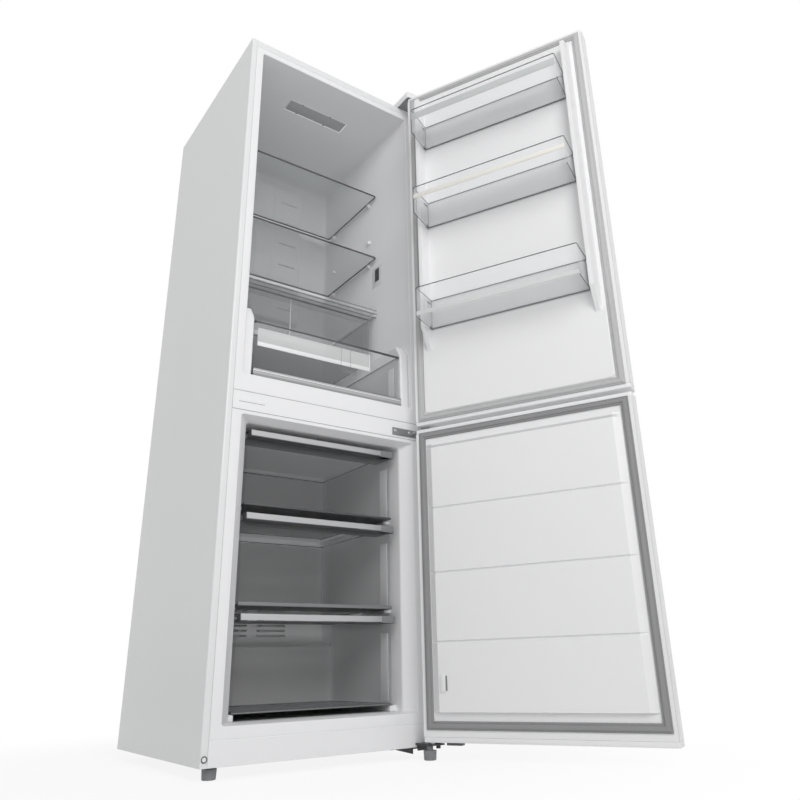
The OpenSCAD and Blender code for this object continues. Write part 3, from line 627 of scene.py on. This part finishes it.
# Wall blocks beside the flexible drawer, ledges and runners.
block = [(-289.0, 908.3), (-289.0, 1074.0), (-265.0, 1109.8), (238.5, 1109.8), (238.5, 908.3)]
piece("wall_blocks", mirrored(along(block, 231.1, 258.9)), moulded, "cabinet", "drawer_rails", angle=50,
      bevel=4.0)
ledges = [slab((250, 258.5), (-119, 236), (1277, 1285), 2.0, 1.5),
          slab((191, 215), (-280.6, 238), (908.2, 917.5), 3.0, 2.0)]
ledges += [slab((208, 229.5), (-225, 140), (z - 8.3, z - 0.4), 3.0, 2.0) for z in (DRAWER_1[0], DRAWER_2[0])]
ledges += [slab((208, 229.5), (-249, 79), (106.2, 120.6), 3.0, 2.0)]
piece("drawer_ledges", mirrored(join(*ledges)), moulded, "cabinet", "drawer_rails", angle=50)


def duct():
    """Rear air duct: a rounded tray with a raised spine and rows of slots let in as dark wells."""
    us = lines(-150, 150, [-146, -30, 30, 146, -124, -56, 56, 124], 12.0, 1.2, 4.0)
    z0, z1 = 1345, 1915
    slots = [1399 + 88 * i for i in range(6)]
    vs = lines(z0, z1, [z0 + 4, z1 - 4] + [z + s for z in slots for s in (-4, 4)], 14.0, 1.2, 3.0)

    def height(x, z):
        body = smooth(0, 10, inside(x, z, 150, z0, z1, 18))
        spine = smooth(0, 8, inside(x, z, 34, 1365, 1895, 30))
        y = 238.5 - 18 * body - 3 * spine
        for c in slots:
            y = y + 7 * smooth(0, 1.6, inside(np.abs(x) - 90, z, 34, c - 4, c + 4, 3.9))
        return np.clip(y, 216.2, 238.6)

    return relief(us, vs, height, 238.9)


piece("air_duct_panel", duct(), moulded, "cabinet", "air_duct", angle=45)

# Ceiling lamp: a thin white frame, the grey lens, a rim on two sides that glows as a painted highlight of the
# unlit lamp, and four dark clips.
section = [(0, CEILING), (0.6, CEILING - 1.8), (3.2, CEILING - 1.8), (3.8, CEILING)]
piece("lamp_frame", ring_frame((-106, 106), (-177, -124), section, 3.0, axis=2), moulded, "cabinet", "lamp")
piece("lamp_lens", slab((-102.4, 102.4), (-173.4, -127.6), (1944.0, 1946.4), 2.5, 0.6), lens, "cabinet",
      "lamp")
# The rim on the rear edge and the right end glows: a painted highlight, since the lamp itself is off.
rims = [slab((-105.6, 105.6), (-126.4, -124.4), (1942.9, 1944.4), 0.9, 0.4, axis=0),
        slab((103.6, 105.6), (-176, -124.4), (1942.9, 1944.4), 0.9, 0.4, axis=1)]
piece("lamp_rim", join(*rims), painted_highlight_glow, "cabinet", "lamp")
clips = [slab((x - 3.5, x + 3.5), (y - 1.4, y + 1.4), (1943.1, 1944.6), 1.0, 0.3)
         for x in (-62.0, 40.0) for y in (-174.5, -127.0)]
piece("lamp_clips", join(*clips), graphite, "cabinet", "lamp")

# Pegs under both shelves and at a free height between them, and the sensor plate with its slots, drawn as
# dark slabs on the plate as painted shade of the openings.
profile = [(0.5, 259.3), (6.5, 259.3), (6.5, 249.0), (5.2, 247.1), (0.5, 247.1)]
pegs = [turned(profile, (0, y, z - 6.8), axis=0, n=24)
        for y in (-80.0, 162.0) for z in (UPPER_SHELF, 1581.0, LOWER_SHELF)]
piece("shelf_pegs", mirrored(join(*pegs)), moulded, "cabinet", "wall_fittings")
piece("sensor_plate", slab((257.05, 258.9), (-155, -97), (1385, 1460), 4.0, 1.0, axis=0), moulded, "cabinet",
      "wall_fittings")
# The slots are graphite slabs just proud of the plate: painted shade standing for the vent openings.
slots = [slab((256.8, 257.5), (-138, -113), (1406, 1452), 2.0, 0.2, axis=0)]
slots += [slab((256.9, 257.6), (-137, -114), (z, z + 5.2), 2.4, 0.2, axis=0)
          for z in np.arange(1408, 1452, 8.0)]
piece("sensor_slots", join(*slots), graphite, "cabinet", "wall_fittings")

dressed("freezer_cover", moulded, 0.5)
repaint("evaporator", fins)
dressed("fan_motor", black, 0.5)
dressed("fan_rotor", mid_grey, 0.3)


# ---------------------------------------------------------------- doors
def door_skin(z0, z1):
    """Pressed steel skin: a C in plan with outer corners rounded by 5, carried up between the end caps."""
    t = np.linspace(0, np.pi / 2, 6)
    r, inner = 5.0, HALF - SHEET

    def corner(half, y, radius):
        return np.stack([half - radius + radius * np.cos(t), y + radius - radius * np.sin(t)], 1)

    outside, within = corner(HALF, DOOR_OUT, r), corner(inner, DOOR_OUT + SHEET, r - SHEET)
    plan = np.concatenate([
        [[HALF - 0.3, DOOR_IN], [HALF, DOOR_IN - 0.8]], outside, outside[::-1] * [-1, 1],
        [[-HALF, DOOR_IN - 0.8], [-HALF + 0.3, DOOR_IN], [-inner, DOOR_IN]], within * [-1, 1], within[::-1],
        [[inner, DOOR_IN]],
    ])
    return loft([lift(plan, z, 2) for z in (z0 + 12, z1 - 12)])


def seal(z0, z1):
    """Door seal: bellows, magnet tube and inner lip as (inset, height) points carried round the door."""
    section = [(0, 0), (0.2, 2.4), (1.6, 4.2), (3.2, 3.4), (4.2, 4.4), (5.4, 6.4), (7.2, 7.0), (12.4, 7.0),
               (14.0, 6.2), (14.8, 4.6), (15.8, 3.6), (17.2, 4.6), (18.8, 4.4), (19.8, 2.6), (20.0, 0.0)]
    half = HALF - 10.0
    return ring_frame((-half, half), (z0, z1), [(a, DOOR_IN + b) for a, b in section], 0.0, n=2)


for tag, (z0, z1), seal_low, seal_look, body in (("up", UP_DOOR, 843.0, seal_grey, "door_upper"),
                                                 ("low", LOW_DOOR, 67.0, seal_dark, "door_lower")):
    piece(tag + "_door_skin", door_skin(z0, z1), enamel, body, tag + "_skin", door=True, angle=30)
    for end, a, b in (("foot", z0, z0 + 12), ("head", z1 - 12, z1)):
        piece(f"{tag}_door_{end}_cap", slab((-HALF, HALF), (DOOR_OUT, DOOR_IN), (a, b), 5.0, 1.2), moulded,
              body, tag + "_caps", door=True)
    piece(tag + "_door_seal", seal(seal_low, z1 - 10), seal_look, body, tag + "_gasket", door=True, angle=28)
    repaint(tag + "_foam", foam)
    dressed(tag + "_bushes", mid_grey, 0.4)


def upper_lining():
    """Upper door lining: a raised pan and two upright ridges that flare outwards, as products of ramps."""
    us = lines(-296, 296, [s * v for s in (-1, 1) for v in (237, 249, 257, 267)], 15.0, 1.0, 4.0)
    vs = lines(845.2, 1970.8, [864, 1050, 1052, 1108, 1936, 1952], 18.0, 1.6, 8.0)

    def height(x, z):
        pan = smooth(0, 3, inside(x, z, 267.2, 863.3, 1952.7, 14))
        side = np.abs(x)
        across = smooth(-1.2, 1.6, side - 236.6) * (1 - np.clip((side - 250.0) / 6.5, 0, 1))
        foot = 0.04 + 0.96 * np.clip((z - 1052) / 58, 0, 1)
        rise = smooth(1049, 1052, z) * foot * (1 - smooth(1926, 1938, z))
        return DOOR_IN + 4.0 * pan + 39.0 * across * rise

    return relief(us, vs, height, DOOR_IN - 1.2)


def lower_lining():
    """Lower door lining: a raised panel with sloped sides, three V grooves across it and a deep one."""
    us = lines(-296, 296, [-266, -246, 246, 266, -256, 256], 14.0, 1.4, 5.0)
    grooves = (265, 431.5, 597)
    vs = lines(52.2, 808.8, [105, 108, *grooves, 763, 774], 14.0, 0.6, 6.0)

    def height(x, z):
        across = np.clip((266.6 - np.abs(x)) / 20.0, 0, 1)
        panel = across * smooth(0, 3.5, np.minimum(z - 103.5, 776 - z))
        y = DOOR_IN + 12.0 * panel
        for c in grooves:
            y = y - np.clip(5.0 - 1.7 * np.abs(z - c), 0, 4.6) * panel
        return y - np.clip(np.minimum((767.0 - z) * 1.9, (z - 761.2) * 6.0), 0, 8.0) * panel

    return relief(us, vs, height, DOOR_IN - 1.2)


piece("up_door_lining", upper_lining(), soft_white, "door_upper", "up_liner", door=True, angle=50)
piece("low_door_lining", lower_lining(), soft_white, "door_lower", "low_liner", door=True, angle=50)
piece("lower_lining_catch", slab((226, 240), (FRONT + 3, FRONT + 9), (152, 190), 3.0, 1.5, axis=1),
      soft_white, "door_lower", "low_liner", door=True)
# The mid-grey slot slab beside the catch is painted shade in the catch's recess.
piece("lower_catch_slot", slab((223.4, 226.4), (FRONT + 3.6, FRONT + 8.4), (154, 188), 1.2, 0.6, axis=1),
      mid_grey, "door_lower", "low_liner", door=True)
piece("low_door_stop", slab((199.5, 239.5), (-334, -316), (34, 40.2), 2.0, 0.8), graphite, "door_lower",
      "low_caps", door=True)
studs = []
for z in map(sum, (BIN_TOP, BIN_MIDDLE, BIN_LOW)):
    studs.append(slab((233.4, 238), (FRONT + 2, FRONT + 20), (z - 24, z - 16), 2.0, 1.0, axis=0))
    studs.append(slab((235.2, 238), (FRONT - 2, FRONT + 24), (z - 70, z - 10), 4.0, 0.5, axis=0))
piece("bin_studs", mirrored(join(*studs)), soft_white, "door_upper", "up_liner", door=True)
profile = [(r, DOOR_IN + y) for r, y in ((0.5, 3.5), (6.5, 3.5), (6.5, 5.0), (5.4, 6.0), (0.5, 6.2))]
plugs = [turned(profile, (x, 0, 1936), axis=1, n=24) for x in (-180.0, 160.0)]
piece("lining_plugs", join(*plugs), soft_white, "door_upper", "up_liner", door=True)


# ---------------------------------------------------------------- door bins
def bin_parts(name, body, place, band, band_look, band_z):
    """A clear bin: the walls, a thin dark rim, dark lines along its edges and a band across the front."""
    y0, y1 = DOOR_IN + 5.0, FRONT + 95.0
    x, z0, z1 = (-233.0, 233.0), place[0], sum(place)
    corners = [6.0, 6.0, 4.0, 4.0]
    walls = tub(x, (y0, y1), (z0, z1), 2.4, corners, 2.0)
    piece(name + "_walls", walls, clear, body, name, door=True, angle=40)
    section = [(0.0, z1), (0.0, z1 - 1.7), (2.4, z1 - 1.7), (2.4, z1)]
    rim = ring_frame(x, (y0, y1), section, corners, axis=2, n=7, least=0.4)
    piece(name + "_rim", rim, edge_tint, body, name, door=True)
    dark = [slab((-231.5, 231.5), (y0 + 0.2, y0 + 2.6), (z0 + 0.2, z0 + 4.2), 1.0, 0.5, axis=0),
            slab((231.6, 233.2), (y1 - 1.9, y1 - 0.2), (z0 + 1, z1 - 1), 0.7, 0.3)]
    for s in (-1, 1):
        spans = ((231.4, 233.2), (231.3, 232.9), (231.6, 233.3), (232.5, 235.7))
        a, b, c, d = [sorted((s * u, s * v)) for u, v in spans]
        dark += [slab(a, (y0, y0 + 2.4), (z0 + 1, z1 - 1), 0.9, 0.4),
                 slab(b, (y0, y1 - 1), (z0 + 0.3, z0 + 1.8), 0.7, 0.3, axis=1),
                 slab(c, (y0 + 1, y0 + 12), (z0 + 0.4, z0 + 12), 1.5, 0.5, axis=0),
                 slab(d, (FRONT + 2, FRONT + 20), (z1 - 16, z1 - 8), 2.0, 1.0, axis=0)]
    piece(name + "_dark_edges", join(*dark), edge_tint, body, name, door=True)
    strip = slab((-231.5, 231.5), (FRONT + 94.6, FRONT + 96.4), [z0 + z for z in band_z], 1.5, 0.5, axis=1)
    piece(name + "_band", strip, band_look, body, band or name,
          door=True)


bin_parts("bin_top", "top_bin", BIN_TOP, "band_top", band_grey, (46, 70))
bin_parts("bin_middle", "middle_bin", BIN_MIDDLE, "band_middle", band_white, (49, 63))
bin_parts("bin_low", "low_bin", BIN_LOW, None, band_pale, (3, 16))


# ---------------------------------------------------------------- shelves
def shelf(name, body, z):
    """Glass shelf: a plate with ground edges in a slim dark frame."""
    y0, y1 = SHELF_Y, FRONT + 502
    piece(name + "_plate", slab((-250.5, 250.5), (y0 + 1.5, y1 - 1.5), (z + 0.6, z + 4.4), 6.0, 0.8), glass,
          body, name)
    line = ring_frame((-252, 252), (y0, y1), [(0, z), (0, z + 5), (2.2, z + 5), (2.2, z)], 7.0, axis=2)
    piece(name + "_edge", line, edge_tint, body, name)


shelf("shelf_upper", "upper_shelf", UPPER_SHELF)
shelf("shelf_lower", "lower_shelf", LOWER_SHELF)

y0 = SHELF_Y
piece("crisper_glass", slab((-258, 258), (y0 + 12, y0 + 329), (1285.2, 1289.8), 3.0, 0.8), glass, "cabinet",
      "crisper_shelf")
trim = [(y0 + y, z) for y, z in ((0.3, 1277.5), (5.4, 1277.5), (6.4, 1267.5), (11.5, 1267.5), (11.8, 1284.8),
                                 (11.8, 1292.6), (1.5, 1292.6), (0.1, 1291.0))]
piece("crisper_trim", along(trim, -252.8, 252.8), clear, "cabinet", "crisper_shelf")
for k, (y, z) in enumerate([(y0, 1277.3), (y0, 1290.9), (y0 + 6.0, 1267.4)], 1):
    line = slab((-252.6, 252.6), (y, y + 2.0), (z, z + 1.6), 0.6, 0.4, axis=0)
    piece(f"crisper_trim_line_{k}", line, edge_tint, "cabinet", "crisper_shelf")


# ---------------------------------------------------------------- drawers
def drawer_box(name, body, half, y, z, look, corner=(6, 6, 12, 12)):
    """Clear drawer: one-skin walls with a rounded foot, a dark rim and a dark line round the foot."""
    x = (-half, half)
    low, top = z
    piece(name + "_walls", tub(x, y, z, 2.6, corner, 6.0), look, body, name, angle=40)
    rim = [(0, top), (0, top - 3.0), (3.2, top - 3.0), (3.2, top)]
    line = [(5.2, low + 0.1), (1.6, low + 2.6), (2.8, low + 4.6), (6.4, low + 2.0)]
    for part, section in (("_rim", rim), ("_foot_line", line)):
        piece(name + part, ring_frame(x, y, section, corner, axis=2, n=7, least=0.4), edge_tint, body, name)


drawer_box("crisper", "crisper_drawer", 238.0, (-113.0, 187.0), (1110.3, 1262.3), smoky)
piece("crisper_rib", slab((-46.5, -43.5), (-112.8, -110.0), (1116, 1258), 1.2, 0.6, axis=2), frost,
      "crisper_drawer", "crisper")
piece("crisper_bridge", slab((-237, 237), (-112.9, -109), (1244, 1261), 2.0, 1.0, axis=1), smoky,
      "crisper_drawer", "crisper")

# Flexible drawer: the box, a bowed band at its foot with a line, a white strip as a painted glint and a grey
# lower strip as painted shade, and a pale flap.
drawer_box("flex_box", "flex_drawer", 229.0, (-285.0, 155.0), (918.0, 1068.0), clear)
t = np.linspace(-1, 1, 13)
bow = np.stack([-285.4 - 6.4 * np.sqrt(1 - (0.97 * t) ** 2), 922.6 + 12.2 * t], 1)
band = np.concatenate([bow, [(-285.0, 934.9), (-285.0, 910.3)]])
band_lines = [slab((-228.9, 228.9), (-288.6, -285), (931.8, 935.0), 0.8, 0.5, axis=0),
              slab((-228.9, 228.9), (-291.95, -290), (924.0, 924.9), 0.4, 0.2, axis=0)]
band_lines += [slab(x, (-291.4, -286), (911.5, 934), 0.5, 0.3) for x in ((-228.9, -227.4), (227.4, 228.9))]
# The band's lower strip is drawn in a darker grey as painted shade under the bow.
foot = np.concatenate([bow[:5] + [-0.35, -0.1], [(-286.0, 918.4), (-286.0, 910.2)]])
flap_edges = [slab((-216.5, 129.5), (-282.8, -280.2), (1000.2, 1012.0), 1.0, 0.6, axis=0),
              slab((127.4, 130), (-282.8, -280.8), (1001, 1051), 1.0, 0.6)]
# The white strip across the band from 925 to 928 is a painted glint.
for name, shape, look in (
    ("front_band", along(band, -228.8, 228.8), band_silver),
    ("band_line", join(*band_lines), graphite),
    ("band_painted_glint", slab((-228, 228), (-292.0, -288.6), (925.2, 927.6), 0.5, 0.3, axis=0), moulded),
    ("band_painted_shade", along(foot, -228.9, 228.9), band_painted_shade),
    ("flap", slab((-217, 130), (-282.4, -279.6), (1000.6, 1051.6), 3.0, 1.0, axis=1), band_pale),
    ("flap_lip", join(*flap_edges), moulded),
):
    piece("flex_" + name, shape, look, "flex_drawer", "flex_trim")
clip = [slab((x - 0.7, x + 0.7), (-285.6, -284.2), (980, 1052), 0.6, 0.3) for x in (33.0, 63.0)]
clip += [slab((40, 83), (-285.9, -284.2), (979, 988), 1.5, 0.6, axis=1)]
piece("flex_clip", join(*clip), smoky, "flex_drawer", "flex_box")
ends = [lift(np.array([(-285.2, z), (-281.0, z), (-281.0, 1068.0), (-285.2, 1068.0)]), x, 0)
        for x, z in ((-228.5, 1066.6), (228.5, 1062.6))]
piece("flex_top_line", loft(ends), edge_tint, "flex_drawer", "flex_box")
piece("flex_side_strip", slab((225.4, 226.3), (-262, -234), (925, 1040), 1.0, 0.3), moulded, "flex_drawer",
      "flex_box")


def freezer_drawer(i, place, y1, rail, floor_y):
    """Freezer drawer: clear box, rail under its front, hollow satin bar with end blocks, black plates of
    painted shade under the floor and under the bar.
    """
    body, node, bar = f"freezer_drawer_{i}", f"drawer_{i}", f"bar_{i}"
    z, top, front = place[0], sum(place), FRONT + 50.0
    drawer_box(node, body, 216.0, (front, y1), (float(z), float(top)), milky, corner=(6, 6, 9, 9))
    # Black plates as painted shade: one under the front of the floor (all of drawer 3's floor), and one under
    # the bar, a flange whose black stands for its shade.
    shade_plates = [slab((-214, 214), (front + 5, floor_y), (z + 0.3, z + 2.0), 3.0, 0.5),
              slab((-213, 213), (front + 2.8, front + 72), (top - 16.4, top - 15.0), 3.0, 0.5)]
    # The rails are real. Drawer 1's is graphite, darker than the mid-grey of the others, as painted shade of
    # the gap below it.
    for part, shape, look in (
        ("_lower_rail", slab((-215, 215), (front - 0.2, front + 5.0), (z + 0.4, z + rail), 1.2, 0.8, axis=0),
         graphite if i == 1 else mid_grey),
        ("_side_strip", slab((212.0, 213.0), (-236, -202), (z + 8, top - 40), 1.0, 0.3), moulded),
        ("_painted_shade_plates", join(*shade_plates), black),
    ):
        piece(node + part, shape, look, body, node)
    section = [(front + y, top + v) for y, v in (
        (-20, -15.4), (-18.6, -15.4), (-17.2, -4.2), (-15.0, -3.0), (-0.6, -3.0), (-0.2, -0.4), (-17.4, 0),
        (-19.4, -1.4))]
    piece(bar + "_face", along(section, -214.0, 171.0), satin, body, bar, bevel=0.4, angle=28)
    block = outline(171, 216, front - 19.9, front - 0.1, [0.5, 0.5, 0.5, 12.0], 8)
    inwards = np.array([193.5, front - 10]) - block
    levels = [(0.6, top - 18), (0.0, top - 17.4), (0.0, top - 0.7), (0.6, top - 0.1)]
    lining = slab((-214, 171), (front - 16.8, front - 0.6), (top - 4.6, top - 3.1), 0.8, 0.3)
    left_end = slab((-216, -214), (front - 19.8, front - 0.2), (top - 18, top - 0.2), 0.9, 0.5)
    right_end = loft([lift(block + inwards * q / 20.0, v, 2) for q, v in levels])
    line = slab((-215, 204), (front - 19.4, front - 0.4), (top - 18, top - 16.6), 0.6, 0.3, axis=0)
    for part, shape, look in (("_inside", lining, graphite), ("_left_end", left_end, graphite),
                              ("_right_end", right_end, mid_grey), ("_end_line", line, graphite)):
        piece(bar + part, shape, look, body, bar)


freezer_drawer(1, DRAWER_1, 140.0, 6.0, -120.0)
freezer_drawer(2, DRAWER_2, 140.0, 9.0, -120.0)
freezer_drawer(3, DRAWER_3, 70.0, 3.0, 60.0)


# ---------------------------------------------------------------- hinges, feet, machinery
dressed("hinge_top", zinc, 0.5)
x, y = (227.7, 296.3), (-365.8, -219.2)
hood = [slab(x, y, (1988.2, 2009.8), 9.0, 4.0, steps=5),
        ring_frame(x, y, [(0.2, TOP + 0.1), (0, 1990), (2.2, 1990), (2.2, TOP + 0.1)], 9.0, axis=2)]
piece("hinge_hood", join(*hood), moulded, "cabinet", "hinge_cover", angle=40)
dressed("hinge_middle", zinc, 0.6)
dressed("hinge_low", black, 0.5)
dressed("screws", bright_pin, 0.6)
profile = [(6.8, -304.3), (6.8, -304.8), (4.6, -304.9), (4.4, -304.4)]
washer = turned(profile, (-289.5, 0, 42), axis=1, n=36, closed=True)
piece("flange_screw_ring", washer, graphite, "cabinet", "screws")

# Screw feet: a ribbed sole that both share, and necks of their own heights.
sole = [(0.5, 0.05), (13.8, 0.05), (14.8, 1.2), (15.4, 12.0), (16.0, 20.4), (15.4, 21.4)]
treads = {"left": ((-264, -271, 0), [(10.0, 21.5), (9.9, 24.6), (5.0, 24.7), (5.0, 57.6), (0.5, 58.0)]),
          "right": ((256, -349, 0), [(7.6, 21.6), (7.6, 30.6), (5.0, 30.7), (5.0, 35.8), (0.5, 36.0)])}
for side, (place, neck) in treads.items():
    tread = turned(sole + neck, place, n=72, flutes=18, depth=0.03)
    piece(f"foot_{side}_tread", tread, mid_grey, f"{side}_foot", f"foot_{side}", angle=30)
    dressed("roller_" + side, mid_grey, 0.8)
dressed("roller_frames", zinc, 0.4)
dressed("compressor", black, 0.6, angle=40)
dressed("condenser", black, 0)
dressed("rear_cover", mid_grey, 0)


# ---------------------------------------------------------------- studio
def seen_rays(tree):
    """A node that gives 1 for camera, mirror and see-through rays and 0 for the rays that light things."""
    path = add(tree, "LightPath")
    two, three = add(tree, "Math", operation="MAXIMUM"), add(tree, "Math", operation="MAXIMUM")
    wire(tree, path, "Is Camera Ray", two, 0)
    wire(tree, path, "Is Glossy Ray", two, 1)
    wire(tree, two, 0, three, 0)
    wire(tree, path, "Is Transmission Ray", three, 1)
    return three


def blend(tree, share, lit, white, out):
    """Mixes two shaders by a share and leads them to the output."""
    mix = add(tree, "MixShader")
    wire(tree, share, 0, mix, 0)
    wire(tree, lit, 0, mix, 1)
    wire(tree, white, 0, mix, 2)
    wire(tree, mix, 0, out, "Surface")


def mat_studio(name, colour, share):
    """Stage finish: where it is seen most of it is plain white, and all of it far from the object."""
    m = bpy.data.materials.new(name)
    m.use_nodes = True
    t = m.node_tree
    t.nodes.remove(t.nodes["Principled BSDF"])
    lit = add(t, "BsdfDiffuse")
    lit.inputs["Color"].default_value = (*colour, 1)
    away = add(t, "VectorMath", operation="LENGTH")
    wire(t, add(t, "TexCoord"), "Object", away, 0)
    spread = add(t, "MapRange", interpolation_type="SMOOTHSTEP")
    for k, v in (("From Min", 0.45), ("From Max", 1.3), ("To Min", share), ("To Max", 1.0)):
        spread.inputs[k].default_value = v
    wire(t, away, "Value", spread, "Value")
    part = add(t, "Math", operation="MULTIPLY")
    wire(t, seen_rays(t), 0, part, 0)
    wire(t, spread, "Result", part, 1)
    blend(t, part, lit, add(t, "Emission"), t.nodes["Material Output"])
    return m


FLOOR_HALF, FLOOR_Z = 9.0, -0.0004  # metres; just under the feet
floor_mesh = bpy.data.meshes.new("studio_floor")
n = 24
line = np.linspace(-FLOOR_HALF, FLOOR_HALF, n)
gx, gy = np.meshgrid(line, line)
pts = np.stack([gx.ravel(), gy.ravel(), np.full(n * n, FLOOR_Z)], 1)
i, j = np.arange(n - 1)[:, None], np.arange(n - 1)[None, :]
a = i * n + j
floor_mesh.from_pydata(pts.tolist(), [], np.stack([a, a + 1, a + n + 1, a + n], -1).reshape(-1, 4).tolist())
floor_mesh.materials.append(mat_studio("studio_white", (0.92, 0.92, 0.92), 0.86))
floor = bpy.data.objects.new("studio_floor", floor_mesh)
scene.collection.objects.link(floor)

# World: plain white where it is seen, weaker where it lights.
world = bpy.data.worlds.new("studio_world")
scene.world = world
world.use_nodes = True
sky = world.node_tree
sky.nodes.clear()
dim, white = add(sky, "Background"), add(sky, "Background")
for shade, strength in ((dim, 0.43), (white, 1.0)):
    shade.inputs["Color"].default_value = (1, 1, 1, 1)
    shade.inputs["Strength"].default_value = strength
blend(sky, seen_rays(sky), dim, white, add(sky, "OutputWorld"))


def lamp(name, place, aim, size, watts):
    """Square soft light at a place, turned to face its aim."""
    d = bpy.data.lights.new(name, "AREA")
    d.shape = "SQUARE"
    d.size = size
    d.energy = watts
    o = bpy.data.objects.new(name, d)
    scene.collection.objects.link(o)
    o.location = place
    o.rotation_euler = (Vector(aim) - Vector(place)).to_track_quat("-Z", "Y").to_euler()


lamp("key", (-1.1, -4.1, 2.7), (0.1, -0.3, 1.1), 2.2, 80.0)
lamp("rim", (3.0, 2.6, 2.6), (0.0, 0.0, 1.0), 2.4, 26.0)
lamp("fill", (-2.6, -2.6, 2.0), (0.2, 0.0, 1.5), 1.6, 10.0)

bpy.context.view_layer.update()
